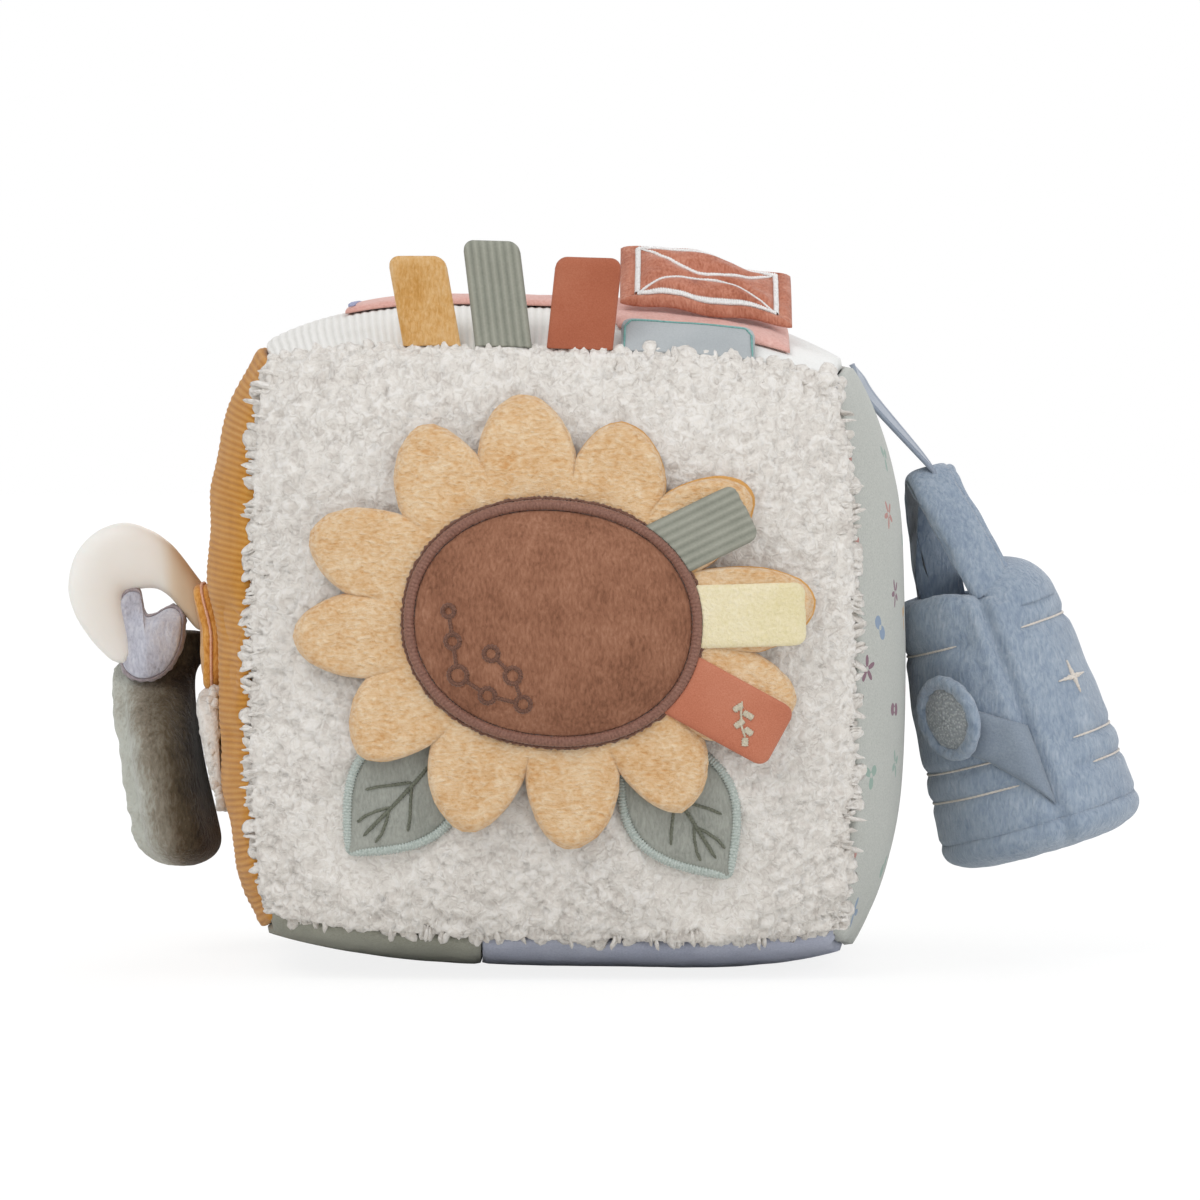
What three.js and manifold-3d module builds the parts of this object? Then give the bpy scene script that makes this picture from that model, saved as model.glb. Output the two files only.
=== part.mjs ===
// Soft activity block for a baby: a stuffed cube of cloth panels with a sewn-on sunflower,
// ribbon tabs, a padded door flap, a hanging plush watering can and a hanging teether toy.
// Millimetres, +Z up, the flower face looks along -Y, the block stands on z = 0.

import * as THREE from "three";
import { mergeVertices } from "three/addons/utils/BufferGeometryUtils.js";
import Module from "manifold-3d";

const wasm = await Module();
wasm.setup();

// Stuffed cube
const SEAM_HALF = 67; // half the distance between opposite corners of a face
const SEAM_BOW = 5; // how far a seam bows out at its middle
const SIDE_BULGE = 14;
const FACE_BULGE = 12;
const TOP_BULGE = 12;
const BOTTOM_BULGE = 6.5;
const CENTRE_HEIGHT = 78;
const CROWN_POWER = 3.6; // a higher power gives fuller faces with rounder seams
const LEAN_SHARE = 0.03; // drop of the right side, as a share of the distance from the middle
const PANEL_THICK = 2;
const TOP_SPLIT_SHARE = 0.2; // where the ribbed half of the top ends, as a share of its half
const BOTTOM_SPLIT_SHARE = -0.25;

// Clearances
const SEAM_GAP = 0.4;
const CORE_GAP = 0.8; // between the filling and the cloth, whose facets differ
const LAY_GAP = 0.45; // between a piece and what it lies on
const PIVOT_GAP = 0.9; // under the foot of a ribbon that swings

// Sunflower
const FLOWER_X = 0.5;
const FLOWER_Z = 86;
const PETAL_REACH = 62;
const PETAL_ROOT = 24;
const PETAL_THICK = 1.4;
const LINING_THICK = 1;
const PETAL_CURL = 1.6;
const PAD_WIDTH = 65.5;
const PAD_HEIGHT = 53;
const PAD_TURN = -5; // degrees
const PAD_EDGE = 2;
const PAD_CROWN = 5.5;
const BORDER_WIDTH = 2.6;
const BORDER_EDGE = 1.6;
const BORDER_CROWN = 1;
const PAD_POWER = 2.15; // 2 is an ellipse, more is squarer
const PAD_FALL_POWER = 3; // how late the crown falls toward the edge

// Tip angle in degrees, tip share of the reach, angle and share of the notch after it
const PETAL_SHARES = [
  [98.6, 0.88, 82, 0.64],
  [69.7, 0.81, 48.9, 0.65],
  [33.7, 0.9, 19.6, 0.6],
  [4.8, 1, -8.5, 0.78],
  [-18.9, 0.98, -37.7, 0.73],
  [-54.6, 0.88, -66.2, 0.63],
  [-85.4, 0.87, -100.3, 0.6],
  [-113.5, 0.87, -135, 0.66],
  [-146.3, 0.9, -163.4, 0.75],
  [-176.8, 1, -188, 0.8],
  [-200.4, 0.99, -215.5, 0.71],
  [-235.2, 0.91, -245.7, 0.7],
];
const PETAL_ROUND_POWER = 2.2; // a higher power gives blunter petals
const PETAL_FALL_POWER = 0.8; // a lower power gives steeper sides

// Leaves
const LEAF_LENGTH = 40;
const LEAF_HALF_WIDTH = 13.5;
const LEAF_THICK = 1.8;
const LEAF_RIM = 2.2;
const LEAF_START = 34; // from the middle of the flower
const LEFT_LEAF_ANGLE = -131.5;
const RIGHT_LEAF_ANGLE = -55.5;
const LEAF_SKEW_POWER = 0.92; // below 1 the leaf is widest nearer its root
const LEAF_ROUND_POWER = 0.85;

// Ribbon tabs beside the flower centre
const SIDE_TAB_THICK = 2;
const SAGE_TAB_LENGTH = 20;
const SAGE_TAB_WIDTH = 14.4;
const LEMON_TAB_LENGTH = 24.5;
const LEMON_TAB_WIDTH = 15;
const RUST_TAB_LENGTH = 25.5;
const RUST_TAB_WIDTH = 15.7;
const SAGE_TAB_PLACE = 33.3; // degrees round the flower, and the direction each tab points in
const SAGE_TAB_AIM = 26;
const LEMON_TAB_PLACE = 2.5;
const LEMON_TAB_AIM = 1.5;
const RUST_TAB_PLACE = -25.6;
const RUST_TAB_AIM = -28.8;
const TAB_CORNER_SHARE = 0.09; // how much shorter a tab is at its rounded corners
const TAB_CORNER_POWER = 8;

// Ribbon tabs in the top seam
const SEAM_TAB_THICK = 2;
const YELLOW_TAB_HEIGHT = 21.5;
const YELLOW_TAB_WIDTH = 13.8;
const RIBBED_TAB_HEIGHT = 25.5;
const RIBBED_TAB_WIDTH = 13.6;
const SATIN_TAB_HEIGHT = 22;
const SATIN_TAB_WIDTH = 15.8;
const LABEL_HEIGHT = 12;
const LABEL_WIDTH = 32;
const LABEL_THICK = 0.8;
const YELLOW_TAB_SHARE = -0.428; // place along the seam, as a share of half its length
const RIBBED_TAB_SHARE = -0.173;
const SATIN_TAB_SHARE = 0.098;
const LABEL_SHARE = 0.485;
const YELLOW_TAB_LEAN = -10; // degrees sideways
const RIBBED_TAB_LEAN = -7;
const SATIN_TAB_LEAN = 6;
const RIBBED_TAB_TILT = 6; // degrees backward
const LABEL_TILT = 50;

// Door flap on its patch
const PATCH_THICK = 1;
const PATCH_LIFT = 0.8; // its facets are longer than those of the panels under it
const PATCH_LEFT = -51;
const PATCH_STEP = 14;
const PATCH_RIGHT = 57;
const PATCH_FRONT = -60;
const PATCH_WING_FRONT = -38;
const PATCH_BACK = 38;
const FLAP_X = 36.8;
const FLAP_Y = -52;
const FLAP_WIDTH = 42;
const FLAP_LENGTH = 22;
const FLAP_EDGE = 2.4;
const FLAP_CROWN = 1.8;
const FLAP_RAISE = 36; // degrees above level
const FLAP_ROLL = 8; // degrees, following the dome

// Hanging watering can
const STRAP_WIDTH = 12;
const STRAP_THICK = 1.1;
const CAN_HEIGHT = 56.5;
const CAN_BASE_RADIUS = 25;
const CAN_TOP_RADIUS = 19;
const CAN_SWELL = 0.9;
const CAN_TILT = 16.4; // degrees, bottom outward
const CAN_TOP_ACROSS = 32.5; // from the seam that holds the strap to the middle of the can's top
const CAN_TOP_DROP = 59.8;
const CAN_DISH = 1.5;
const CAN_PINCH = 0.9; // depth of the stitched channels
const BASE_DEPTH = 8;
const HOOD_HEIGHT = 9;
const HOOD_INSET = 1.2;
const HANDLE_WIDTH = 10;
const HANDLE_THICK = 5.5;
const HANDLE_RISE = 33;
const HANDLE_SPAN = 25;
const HANDLE_TURN = 28; // degrees from the front-back line
const HOOD_START = 2;
const HOOD_WIDTH_SHARE = 0.72;
const SPOUT_THICK = 1.3;
const SPOUT_ROSE_TURN = 16; // degrees from the can's front toward the cube
const SPOUT_ROOT_TURN = -10;
const SPOUT_ROSE_TOP = 20.5; // distances below the can's top
const SPOUT_ROSE_BOTTOM = 37;
const SPOUT_ROOT_TOP = 26;
const SPOUT_ROOT_BOTTOM = 52.5;
const ROSE_TURN = 35;
const ROSE_FACING = 44;
const ROSE_BELOW = 25;
const ROSE_RADIUS = 8.3;
const ROSE_ROLL = 2.6; // radius of the padded ring itself
const ROSE_FACE_THICK = 2.4;
const HANDLE_TOP_SHARE = -0.08; // how far the top of the handle lies toward the cube

// Where the strap passes the cube's side: height share, then how far out and up it stands there,
// as shares of its clearance
const STRAP_SHARES = [
  [0.985, 0.9, 0.45],
  [0.94, 0.9, 0],
  [0.87, 1.3, 0],
];

// Hanging teether toy
const HOLDER_HEIGHT = 27;
const HOLDER_WIDTH = 22;
const HOLDER_THICK = 4.6;
const HOLDER_MIDDLE_HEIGHT = 79;
const HOOK_ROOT_HEIGHT = 90;
const HOOK_REACH = 31.5;
const HOOK_HEIGHT = 36;
const HOOK_THICK = 9;
const BULB_WIDTH = 15.1;
const BULB_HEIGHT = 20.9;
const BULB_THICK = 12;
const BULB_INSET = 10.3; // from the hook's root to the middle of the bulb
const BULB_DROP = 11.6;
const DANGLE_DROP = 9.3; // from the middle of the bulb to the top of the pad
const DANGLE_LENGTH = 45;
const DANGLE_WIDTH = 21;
const DANGLE_DEPTH = 30;
const FLEECE_THICK = 2.2;
const FLEECE_TOP = 63.5;
const FLEECE_HEIGHT = 25;
const FLEECE_WIDTH = 46;
const SOFT_CORNER_SHARE = 0.75; // how far the corners of a soft patch are drawn in
const SOFT_CORNER_POWER = 4;
const HOLDER_EDGE_SHARE = 0.7; // thickness at the holder's edge
const TIP_SHARE = 0.2; // the last part of the hook, which is rounded off
const TIP_DRAW_SHARE = 0.85;
const BULB_EDGE_SHARE = 0.8; // how far the bulb thins toward its rim
const DANGLE_TAPER_SHARE = 0.86;
const DANGLE_TAPER_POWER = 5;
// Middle line of the long pad: sideways as shares of its width, down as shares of its length
const DANGLE_SHARES = [
  [0.04, 0],
  [0.13, 0.4],
  [0.21, 0.68],
  [0.36, 1],
];

const CUT_OVERRUN = 2;
const WELD = 0.001; // points of the filling that lie closer than this become one
const PANEL_STEPS = 10;
const RADIAN = Math.PI / 180;

const { cos, sin, abs, max, min, sqrt, PI } = Math;
const vector = (x, y, z) => new THREE.Vector3(x, y, z);
const mix = THREE.MathUtils.lerp;

// Closed meshes: each helper gathers points and triangles, then turns the faces outward
function closedGeometry(points, triangles) {
  let volume = 0;
  for (const [a, b, c] of triangles) {
    volume += points[a].dot(vector(0, 0, 0).crossVectors(points[b], points[c]));
  }
  const facing = volume < 0 ? triangles.map(([a, b, c]) => [a, c, b]) : triangles;
  const geometry = new THREE.BufferGeometry().setFromPoints(points);
  geometry.setIndex(facing.flat());
  geometry.computeVertexNormals();
  return geometry;
}

// A sheet between two surfaces, each given by a function of two shares from 0 to 1
function sheet(columns, rows, front, back) {
  const points = [];
  const triangles = [];
  for (const surface of [front, back]) {
    for (let row = 0; row <= rows; row++) {
      for (let column = 0; column <= columns; column++) {
        points.push(surface(column / columns, row / rows));
      }
    }
  }
  const layer = (columns + 1) * (rows + 1);
  const at = (side, column, row) => side * layer + row * (columns + 1) + column;
  const quad = (a, b, c, d) => triangles.push([a, b, c], [a, c, d]);
  for (let row = 0; row < rows; row++) {
    for (let column = 0; column < columns; column++) {
      quad(at(0, column, row), at(0, column + 1, row), at(0, column + 1, row + 1), at(0, column, row + 1));
      quad(at(1, column, row), at(1, column, row + 1), at(1, column + 1, row + 1), at(1, column + 1, row));
    }
  }
  for (let column = 0; column < columns; column++) {
    quad(at(0, column + 1, 0), at(0, column, 0), at(1, column, 0), at(1, column + 1, 0));
    quad(at(0, column, rows), at(0, column + 1, rows), at(1, column + 1, rows), at(1, column, rows));
  }
  for (let row = 0; row < rows; row++) {
    quad(at(0, 0, row), at(0, 0, row + 1), at(1, 0, row + 1), at(1, 0, row));
    quad(at(0, columns, row + 1), at(0, columns, row), at(1, columns, row), at(1, columns, row + 1));
  }
  return closedGeometry(points, triangles);
}

// A disc between two surfaces, each given by a function of an angle and a share of the radius
function disc(sectors, rings, front, back) {
  const points = [front(0, 0), back(0, 0)];
  const triangles = [];
  for (const surface of [front, back]) {
    for (let step = 1; step <= rings; step++) {
      for (let sector = 0; sector < sectors; sector++) {
        points.push(surface((2 * PI * sector) / sectors, step / rings));
      }
    }
  }
  const at = (side, step, sector) => 2 + (side * rings + step - 1) * sectors + (sector % sectors);
  const quad = (a, b, c, d) => triangles.push([a, b, c], [a, c, d]);
  for (let sector = 0; sector < sectors; sector++) {
    const next = sector + 1;
    triangles.push([0, at(0, 1, sector), at(0, 1, next)]);
    triangles.push([1, at(1, 1, next), at(1, 1, sector)]);
    for (let step = 1; step < rings; step++) {
      quad(at(0, step, sector), at(0, step + 1, sector), at(0, step + 1, next), at(0, step, next));
      quad(at(1, step, sector), at(1, step, next), at(1, step + 1, next), at(1, step + 1, sector));
    }
    quad(at(0, rings, sector), at(1, rings, sector), at(1, rings, next), at(0, rings, next));
  }
  return closedGeometry(points, triangles);
}

// A closed band between two surfaces, with a share of 0 at its inner rim and 1 at its outer rim
function ring(sectors, rings, front, back) {
  const points = [];
  const triangles = [];
  for (const surface of [front, back]) {
    for (let step = 0; step <= rings; step++) {
      for (let sector = 0; sector < sectors; sector++) {
        points.push(surface((2 * PI * sector) / sectors, step / rings));
      }
    }
  }
  const at = (side, step, sector) => (side * (rings + 1) + step) * sectors + (sector % sectors);
  const quad = (a, b, c, d) => triangles.push([a, b, c], [a, c, d]);
  for (let sector = 0; sector < sectors; sector++) {
    const next = sector + 1;
    for (let step = 0; step < rings; step++) {
      quad(at(0, step, sector), at(0, step + 1, sector), at(0, step + 1, next), at(0, step, next));
      quad(at(1, step, sector), at(1, step, next), at(1, step + 1, next), at(1, step + 1, sector));
    }
    quad(at(0, rings, sector), at(1, rings, sector), at(1, rings, next), at(0, rings, next));
    quad(at(0, 0, sector), at(0, 0, next), at(1, 0, next), at(1, 0, sector));
  }
  return closedGeometry(points, triangles);
}

// A closed form through sections, each given by a function of a turn round it and a share along it
function loft(steps, sides, surface) {
  const points = [];
  const triangles = [];
  for (let step = 0; step <= steps; step++) {
    for (let side = 0; side < sides; side++) {
      points.push(surface((2 * PI * side) / sides, step / steps));
    }
  }
  const at = (step, side) => step * sides + (side % sides);
  for (let side = 0; side < sides; side++) {
    for (let step = 0; step < steps; step++) {
      triangles.push([at(step, side), at(step, side + 1), at(step + 1, side + 1)]);
      triangles.push([at(step, side), at(step + 1, side + 1), at(step + 1, side)]);
    }
  }
  for (let side = 1; side < sides - 1; side++) {
    triangles.push([at(0, 0), at(0, side + 1), at(0, side)]);
    triangles.push([at(steps, 0), at(steps, side), at(steps, side + 1)]);
  }
  return closedGeometry(points, triangles);
}

// A rounded bar along a curve. One axis of its section keeps to the steady direction, and the
// other lies square to it; both sizes may change along the curve.
function bar(curve, steps, steady, steadyAt, otherAt, sides = 8) {
  const surface = (turn, share) => {
    const tangent = curve.getTangent(share);
    const other = vector(0, 0, 0).crossVectors(tangent, steady).normalize();
    const across = vector(0, 0, 0).crossVectors(other, tangent).normalize();
    const angle = turn + PI / sides;
    const point = curve.getPoint(share);
    point.addScaledVector(across, (cos(angle) * steadyAt(share)) / 2);
    return point.addScaledVector(other, (sin(angle) * otherAt(share)) / 2);
  };
  return loft(steps, sides, surface);
}

function solid(geometry) {
  const bare = geometry.clone();
  bare.deleteAttribute("normal");
  bare.deleteAttribute("uv");
  const merged = mergeVertices(bare);
  return new wasm.Manifold(
    new wasm.Mesh({
      numProp: 3,
      vertProperties: new Float32Array(merged.attributes.position.array),
      triVerts: new Uint32Array(merged.index.array),
    }),
  );
}

function fromSolid(manifold) {
  const mesh = manifold.getMesh();
  const geometry = new THREE.BufferGeometry();
  geometry.setAttribute("position", new THREE.BufferAttribute(mesh.vertProperties, 3));
  geometry.setIndex(new THREE.BufferAttribute(mesh.triVerts, 1));
  geometry.computeVertexNormals();
  return geometry;
}

const model = new THREE.Group();

function piece(parent, name, geometry, color, roughness = 0.9) {
  const mesh = new THREE.Mesh(geometry, new THREE.MeshStandardMaterial({ color, roughness, metalness: 0 }));
  mesh.name = name;
  parent.add(mesh);
  return mesh;
}

// The stuffed cube: each face crowns between its seams and each seam bows out at its middle.
// u, v and w run from -1 to 1 along X, Y and Z, and the depth is measured inward.
const crown = (share) => 1 - abs(share) ** CROWN_POWER;

function halfSize(bulge, a, b) {
  const along = crown(a);
  const across = crown(b);
  return SEAM_HALF + SEAM_BOW * (along + across - along * across) + bulge * along * across;
}

function skin(u, v, w, depth = 0) {
  const x = u * (halfSize(SIDE_BULGE, v, w) - depth);
  const y = v * (halfSize(FACE_BULGE, u, w) - depth);
  const halfHeight = halfSize(w > 0 ? TOP_BULGE : BOTTOM_BULGE, u, v);
  const z = CENTRE_HEIGHT + w * (halfHeight - depth) - LEAN_SHARE * x;
  return vector(x, y, max(z, depth));
}

const FACES = {
  front: (a, b, depth) => skin(a, -1, b, depth),
  back: (a, b, depth) => skin(a, 1, b, depth),
  left: (a, b, depth) => skin(-1, a, b, depth),
  right: (a, b, depth) => skin(1, a, b, depth),
  top: (a, b, depth) => skin(a, b, 1, depth),
  bottom: (a, b, depth) => skin(a, b, -1, depth),
};

// Rows lie closer together near the seams, where the faces turn
const eased = (share) => sin((share - 0.5) * PI);

function panel(face, from = -1, to = 1) {
  const inset = SEAM_GAP / 2 / SEAM_HALF;
  const low = from + inset;
  const high = to - inset;
  const columns = Math.round(4 + 3 * (to - from));
  const start = Math.asin(low) / PI + 0.5;
  const end = Math.asin(high) / PI + 0.5;
  const surface = (depth) => (a, b) => FACES[face](eased(mix(start, end, a)), eased(b) * (1 - inset), depth);
  return sheet(columns, PANEL_STEPS, surface(0), surface(PANEL_THICK));
}

function core() {
  const steps = PANEL_STEPS;
  const depth = PANEL_THICK + CORE_GAP;
  const points = [];
  const triangles = [];
  for (const surface of Object.values(FACES)) {
    const first = points.length;
    for (let row = 0; row <= steps; row++) {
      for (let column = 0; column <= steps; column++) {
        points.push(surface(eased(column / steps), eased(row / steps), depth));
      }
    }
    const at = (column, row) => first + row * (steps + 1) + column;
    for (let row = 0; row < steps; row++) {
      for (let column = 0; column < steps; column++) {
        const corners = [at(column, row), at(column + 1, row), at(column + 1, row + 1), at(column, row + 1)];
        const middle = points[corners[0]].clone().sub(vector(0, 0, CENTRE_HEIGHT));
        const edge = points[corners[1]].clone().sub(points[corners[0]]);
        const rise = points[corners[3]].clone().sub(points[corners[0]]);
        const outward = edge.cross(rise).dot(middle) > 0;
        const [p, q, r, s] = outward ? corners : [...corners].reverse();
        triangles.push([p, q, r], [p, r, s]);
      }
    }
  }
  return mergeVertices(closedGeometry(points, triangles).deleteAttribute("normal"), WELD);
}

piece(model, "core_fill", core(), 0xf2efe8);
piece(model, "front_panel", panel("front"), 0xded9d3, 1);
piece(model, "back_panel", panel("back"), 0xe4dfd6, 1);
piece(model, "left_panel", panel("left"), 0xc08a35);
piece(model, "right_panel", panel("right"), 0xd3d6d2);
piece(model, "top_panel_ribbed", panel("top", -1, TOP_SPLIT_SHARE), 0xe3e3e0);
piece(model, "top_panel_plain", panel("top", TOP_SPLIT_SHARE, 1), 0xe6e6e4);
piece(model, "bottom_panel_sage", panel("bottom", -1, BOTTOM_SPLIT_SHARE), 0x9a9a8e);
piece(model, "bottom_panel_lavender", panel("bottom", BOTTOM_SPLIT_SHARE, 1), 0xa9adbd);

// Where a piece lies on a face of the cube: the face is solved for the two given coordinates
const SOLVE_PASSES = 10;

function onFront(x, z, lift) {
  let u = x / SEAM_HALF;
  let w = (z - CENTRE_HEIGHT) / SEAM_HALF;
  for (let pass = 0; pass < SOLVE_PASSES; pass++) {
    u = x / halfSize(SIDE_BULGE, 1, w);
    w = (z + LEAN_SHARE * x - CENTRE_HEIGHT) / halfSize(TOP_BULGE, u, 1);
  }
  return vector(x, -halfSize(FACE_BULGE, u, w) - lift, z);
}

function onTop(x, y, lift) {
  let u = x / SEAM_HALF;
  let v = y / SEAM_HALF;
  for (let pass = 0; pass < SOLVE_PASSES; pass++) {
    u = x / halfSize(SIDE_BULGE, v, 1);
    v = y / halfSize(FACE_BULGE, u, 1);
  }
  return vector(x, y, CENTRE_HEIGHT + halfSize(TOP_BULGE, u, v) - LEAN_SHARE * x + lift);
}

function onLeft(y, z, lift) {
  let x = -SEAM_HALF;
  let v = y / SEAM_HALF;
  let w = (z - CENTRE_HEIGHT) / SEAM_HALF;
  for (let pass = 0; pass < SOLVE_PASSES; pass++) {
    v = y / halfSize(FACE_BULGE, 1, w);
    w = (z + LEAN_SHARE * x - CENTRE_HEIGHT) / halfSize(TOP_BULGE, 1, v);
    x = -halfSize(SIDE_BULGE, v, w);
  }
  return vector(x - lift, y, z);
}

// Sunflower: leaves, petal lining, petals, then the padded centre and its stitched border
const LEAF_LIFT = LAY_GAP;
const LINING_LIFT = LEAF_LIFT + LEAF_THICK + LAY_GAP;
const PETAL_LIFT = LINING_LIFT + LINING_THICK + LAY_GAP;
const PAD_LIFT = PETAL_LIFT + PETAL_THICK + LAY_GAP;
const PETAL_STEPS = 6;

const onFlower = (x, z, lift) => onFront(FLOWER_X + x, FLOWER_Z + z, lift);
const curl = (radius) => PETAL_CURL * (max(radius - PETAL_ROOT, 0) / (PETAL_REACH - PETAL_ROOT)) ** 2;

// The petals follow each other round the flower, each with the same number of steps
function petalEdge(turn) {
  const count = PETAL_SHARES.length;
  const place = Math.round((turn / (2 * PI)) * count * PETAL_STEPS) / PETAL_STEPS;
  const index = Math.floor(place) % count;
  const across = -cos(PI * (place % 1));
  const [tip, tipShare, notch, notchShare] = PETAL_SHARES[index];
  const before = PETAL_SHARES[(index + count - 1) % count];
  const start = index === 0 ? before[2] + 360 : before[2];
  const degrees = across < 0 ? mix(tip, start, -across) : mix(tip, notch, across);
  const base = across < 0 ? before[3] : notchShare;
  const swell = (1 - abs(across) ** PETAL_ROUND_POWER) ** PETAL_FALL_POWER;
  return { angle: degrees * RADIAN, reach: PETAL_REACH * mix(base, tipShare, swell) };
}

function petals(lift, thick) {
  const surface = (extra) => (turn, share) => {
    const { angle, reach } = petalEdge(turn);
    const radius = mix(PETAL_ROOT, reach, share);
    return onFlower(radius * cos(angle), radius * sin(angle), lift + curl(radius) + extra);
  };
  return ring(PETAL_SHARES.length * PETAL_STEPS, 3, surface(thick), surface(0));
}

function padEdge(angle) {
  const own = angle - PAD_TURN * RADIAN;
  const wide = abs(cos(own) / (PAD_WIDTH / 2)) ** PAD_POWER;
  const tall = abs(sin(own) / (PAD_HEIGHT / 2)) ** PAD_POWER;
  return (wide + tall) ** (-1 / PAD_POWER);
}

function pad() {
  const surface = (liftAt) => (angle, share) => {
    const radius = padEdge(angle) * share;
    return onFlower(radius * cos(angle), radius * sin(angle), liftAt(share));
  };
  const front = (share) => PAD_LIFT + PAD_EDGE + PAD_CROWN * (1 - share ** PAD_FALL_POWER);
  return disc(40, 4, surface(front), surface(() => PAD_LIFT));
}

function border() {
  const surface = (liftAt) => (angle, share) => {
    const radius = padEdge(angle) + LAY_GAP + BORDER_WIDTH * share;
    return onFlower(radius * cos(angle), radius * sin(angle), liftAt(share));
  };
  const front = (share) => PAD_LIFT + BORDER_EDGE + BORDER_CROWN * sin(PI * share);
  return ring(48, 2, surface(front), surface(() => PAD_LIFT));
}

// A leaf swells from its root to a point; its stitched rim runs round it
function leafPoint(angle, turn, shrink) {
  const along = (1 - cos(turn)) / 2;
  const length = LEAF_LENGTH - 2 * shrink;
  const halfWidth = (LEAF_HALF_WIDTH - shrink) * sin(PI * along ** LEAF_SKEW_POWER) ** LEAF_ROUND_POWER;
  const x = LEAF_START + shrink + along * length;
  const z = turn < PI ? halfWidth : -halfWidth;
  const lean = angle * RADIAN;
  return [x * cos(lean) - z * sin(lean), x * sin(lean) + z * cos(lean)];
}

function leaf(angle) {
  const surface = (lift) => (turn, share) => {
    const middle = LEAF_START + LEAF_LENGTH / 2;
    const [x, z] = leafPoint(angle, turn, LEAF_RIM + LAY_GAP);
    const [middleX, middleZ] = [middle * cos(angle * RADIAN), middle * sin(angle * RADIAN)];
    return onFlower(mix(middleX, x, share), mix(middleZ, z, share), lift);
  };
  return disc(20, 2, surface(LEAF_LIFT + LEAF_THICK), surface(LEAF_LIFT));
}

function leafRim(angle) {
  const surface = (lift) => (turn, share) => {
    const [x, z] = leafPoint(angle, turn, LEAF_RIM * (1 - share));
    return onFlower(x, z, lift);
  };
  return ring(20, 1, surface(LEAF_LIFT + LEAF_THICK), surface(LEAF_LIFT));
}

piece(model, "leaf_left", leaf(LEFT_LEAF_ANGLE), 0xa0a39a);
piece(model, "leaf_rim_left", leafRim(LEFT_LEAF_ANGLE), 0xa9b3ac, 0.7);
piece(model, "leaf_right", leaf(RIGHT_LEAF_ANGLE), 0xa0a39a);
piece(model, "leaf_rim_right", leafRim(RIGHT_LEAF_ANGLE), 0xa9b3ac, 0.7);
piece(model, "petal_lining", petals(LINING_LIFT, LINING_THICK), 0xd9a556);
piece(model, "petal_ring", petals(PETAL_LIFT, PETAL_THICK), 0xe8c48c);
piece(model, "flower_centre", pad(), 0x8a5c46);
piece(model, "flower_border", border(), 0x7a5248, 0.7);

// Ribbon tabs that come out from under the border and lie on the petals.
// The foot of each follows the border; the tab aims a little off the radius.
function sideTab(placeAngle, aimAngle, length, width) {
  const aim = vector(cos(aimAngle * RADIAN), 0, sin(aimAngle * RADIAN));
  const side = vector(-aim.z, 0, aim.x);
  const footRadius = padEdge(placeAngle * RADIAN);
  const foot = vector(cos(placeAngle * RADIAN), 0, sin(placeAngle * RADIAN)).multiplyScalar(footRadius);
  const surface = (extra) => (a, b) => {
    const across = (a - 0.5) * width;
    const start = foot.clone().addScaledVector(side, across);
    for (let pass = 0; pass < SOLVE_PASSES; pass++) {
      const clear = padEdge(Math.atan2(start.z, start.x)) + BORDER_WIDTH + 2 * LAY_GAP;
      start.addScaledVector(aim, clear - Math.hypot(start.x, start.z));
    }
    const corner = 1 - TAB_CORNER_SHARE * abs(2 * a - 1) ** TAB_CORNER_POWER;
    const end = foot.clone().addScaledVector(side, across);
    end.addScaledVector(aim, (BORDER_WIDTH + length) * corner);
    const point = start.lerp(end, b);
    return onFlower(point.x, point.z, PAD_LIFT + curl(Math.hypot(point.x, point.z)) + extra);
  };
  return sheet(6, 4, surface(SIDE_TAB_THICK), surface(0));
}

const sageTab = sideTab(SAGE_TAB_PLACE, SAGE_TAB_AIM, SAGE_TAB_LENGTH, SAGE_TAB_WIDTH);
const lemonTab = sideTab(LEMON_TAB_PLACE, LEMON_TAB_AIM, LEMON_TAB_LENGTH, LEMON_TAB_WIDTH);
const rustTab = sideTab(RUST_TAB_PLACE, RUST_TAB_AIM, RUST_TAB_LENGTH, RUST_TAB_WIDTH);
piece(model, "flower_tab_sage", sageTab, 0x9ca394);
piece(model, "flower_tab_lemon", lemonTab, 0xe8e0ae);
piece(model, "flower_tab_rust", rustTab, 0xc4745a, 0.6);

// Ribbon tabs and the bare label, sewn into the top front seam
function seamTab(placeShare, width, height, thick, lean, tilt) {
  const halfShare = width / 2 / SEAM_HALF;
  const left = skin(placeShare - halfShare, -1, 1);
  const right = skin(placeShare + halfShare, -1, 1);
  const along = right.clone().sub(left).normalize();
  const up = vector(0, sin(tilt * RADIAN), cos(tilt * RADIAN));
  const normal = vector(0, 0, 0).crossVectors(along, up).normalize();
  const surface = (sign) => (a, b) => {
    const rise = height * b * (1 - TAB_CORNER_SHARE * abs(2 * a - 1) ** TAB_CORNER_POWER);
    const point = skin(placeShare + (2 * a - 1) * halfShare, -1, 1);
    point.z += PIVOT_GAP;
    point.addScaledVector(up, rise);
    point.addScaledVector(along, Math.tan(lean * RADIAN) * rise);
    return point.addScaledVector(normal, (sign * thick) / 2);
  };
  return sheet(6, 3, surface(1), surface(-1));
}

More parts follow.
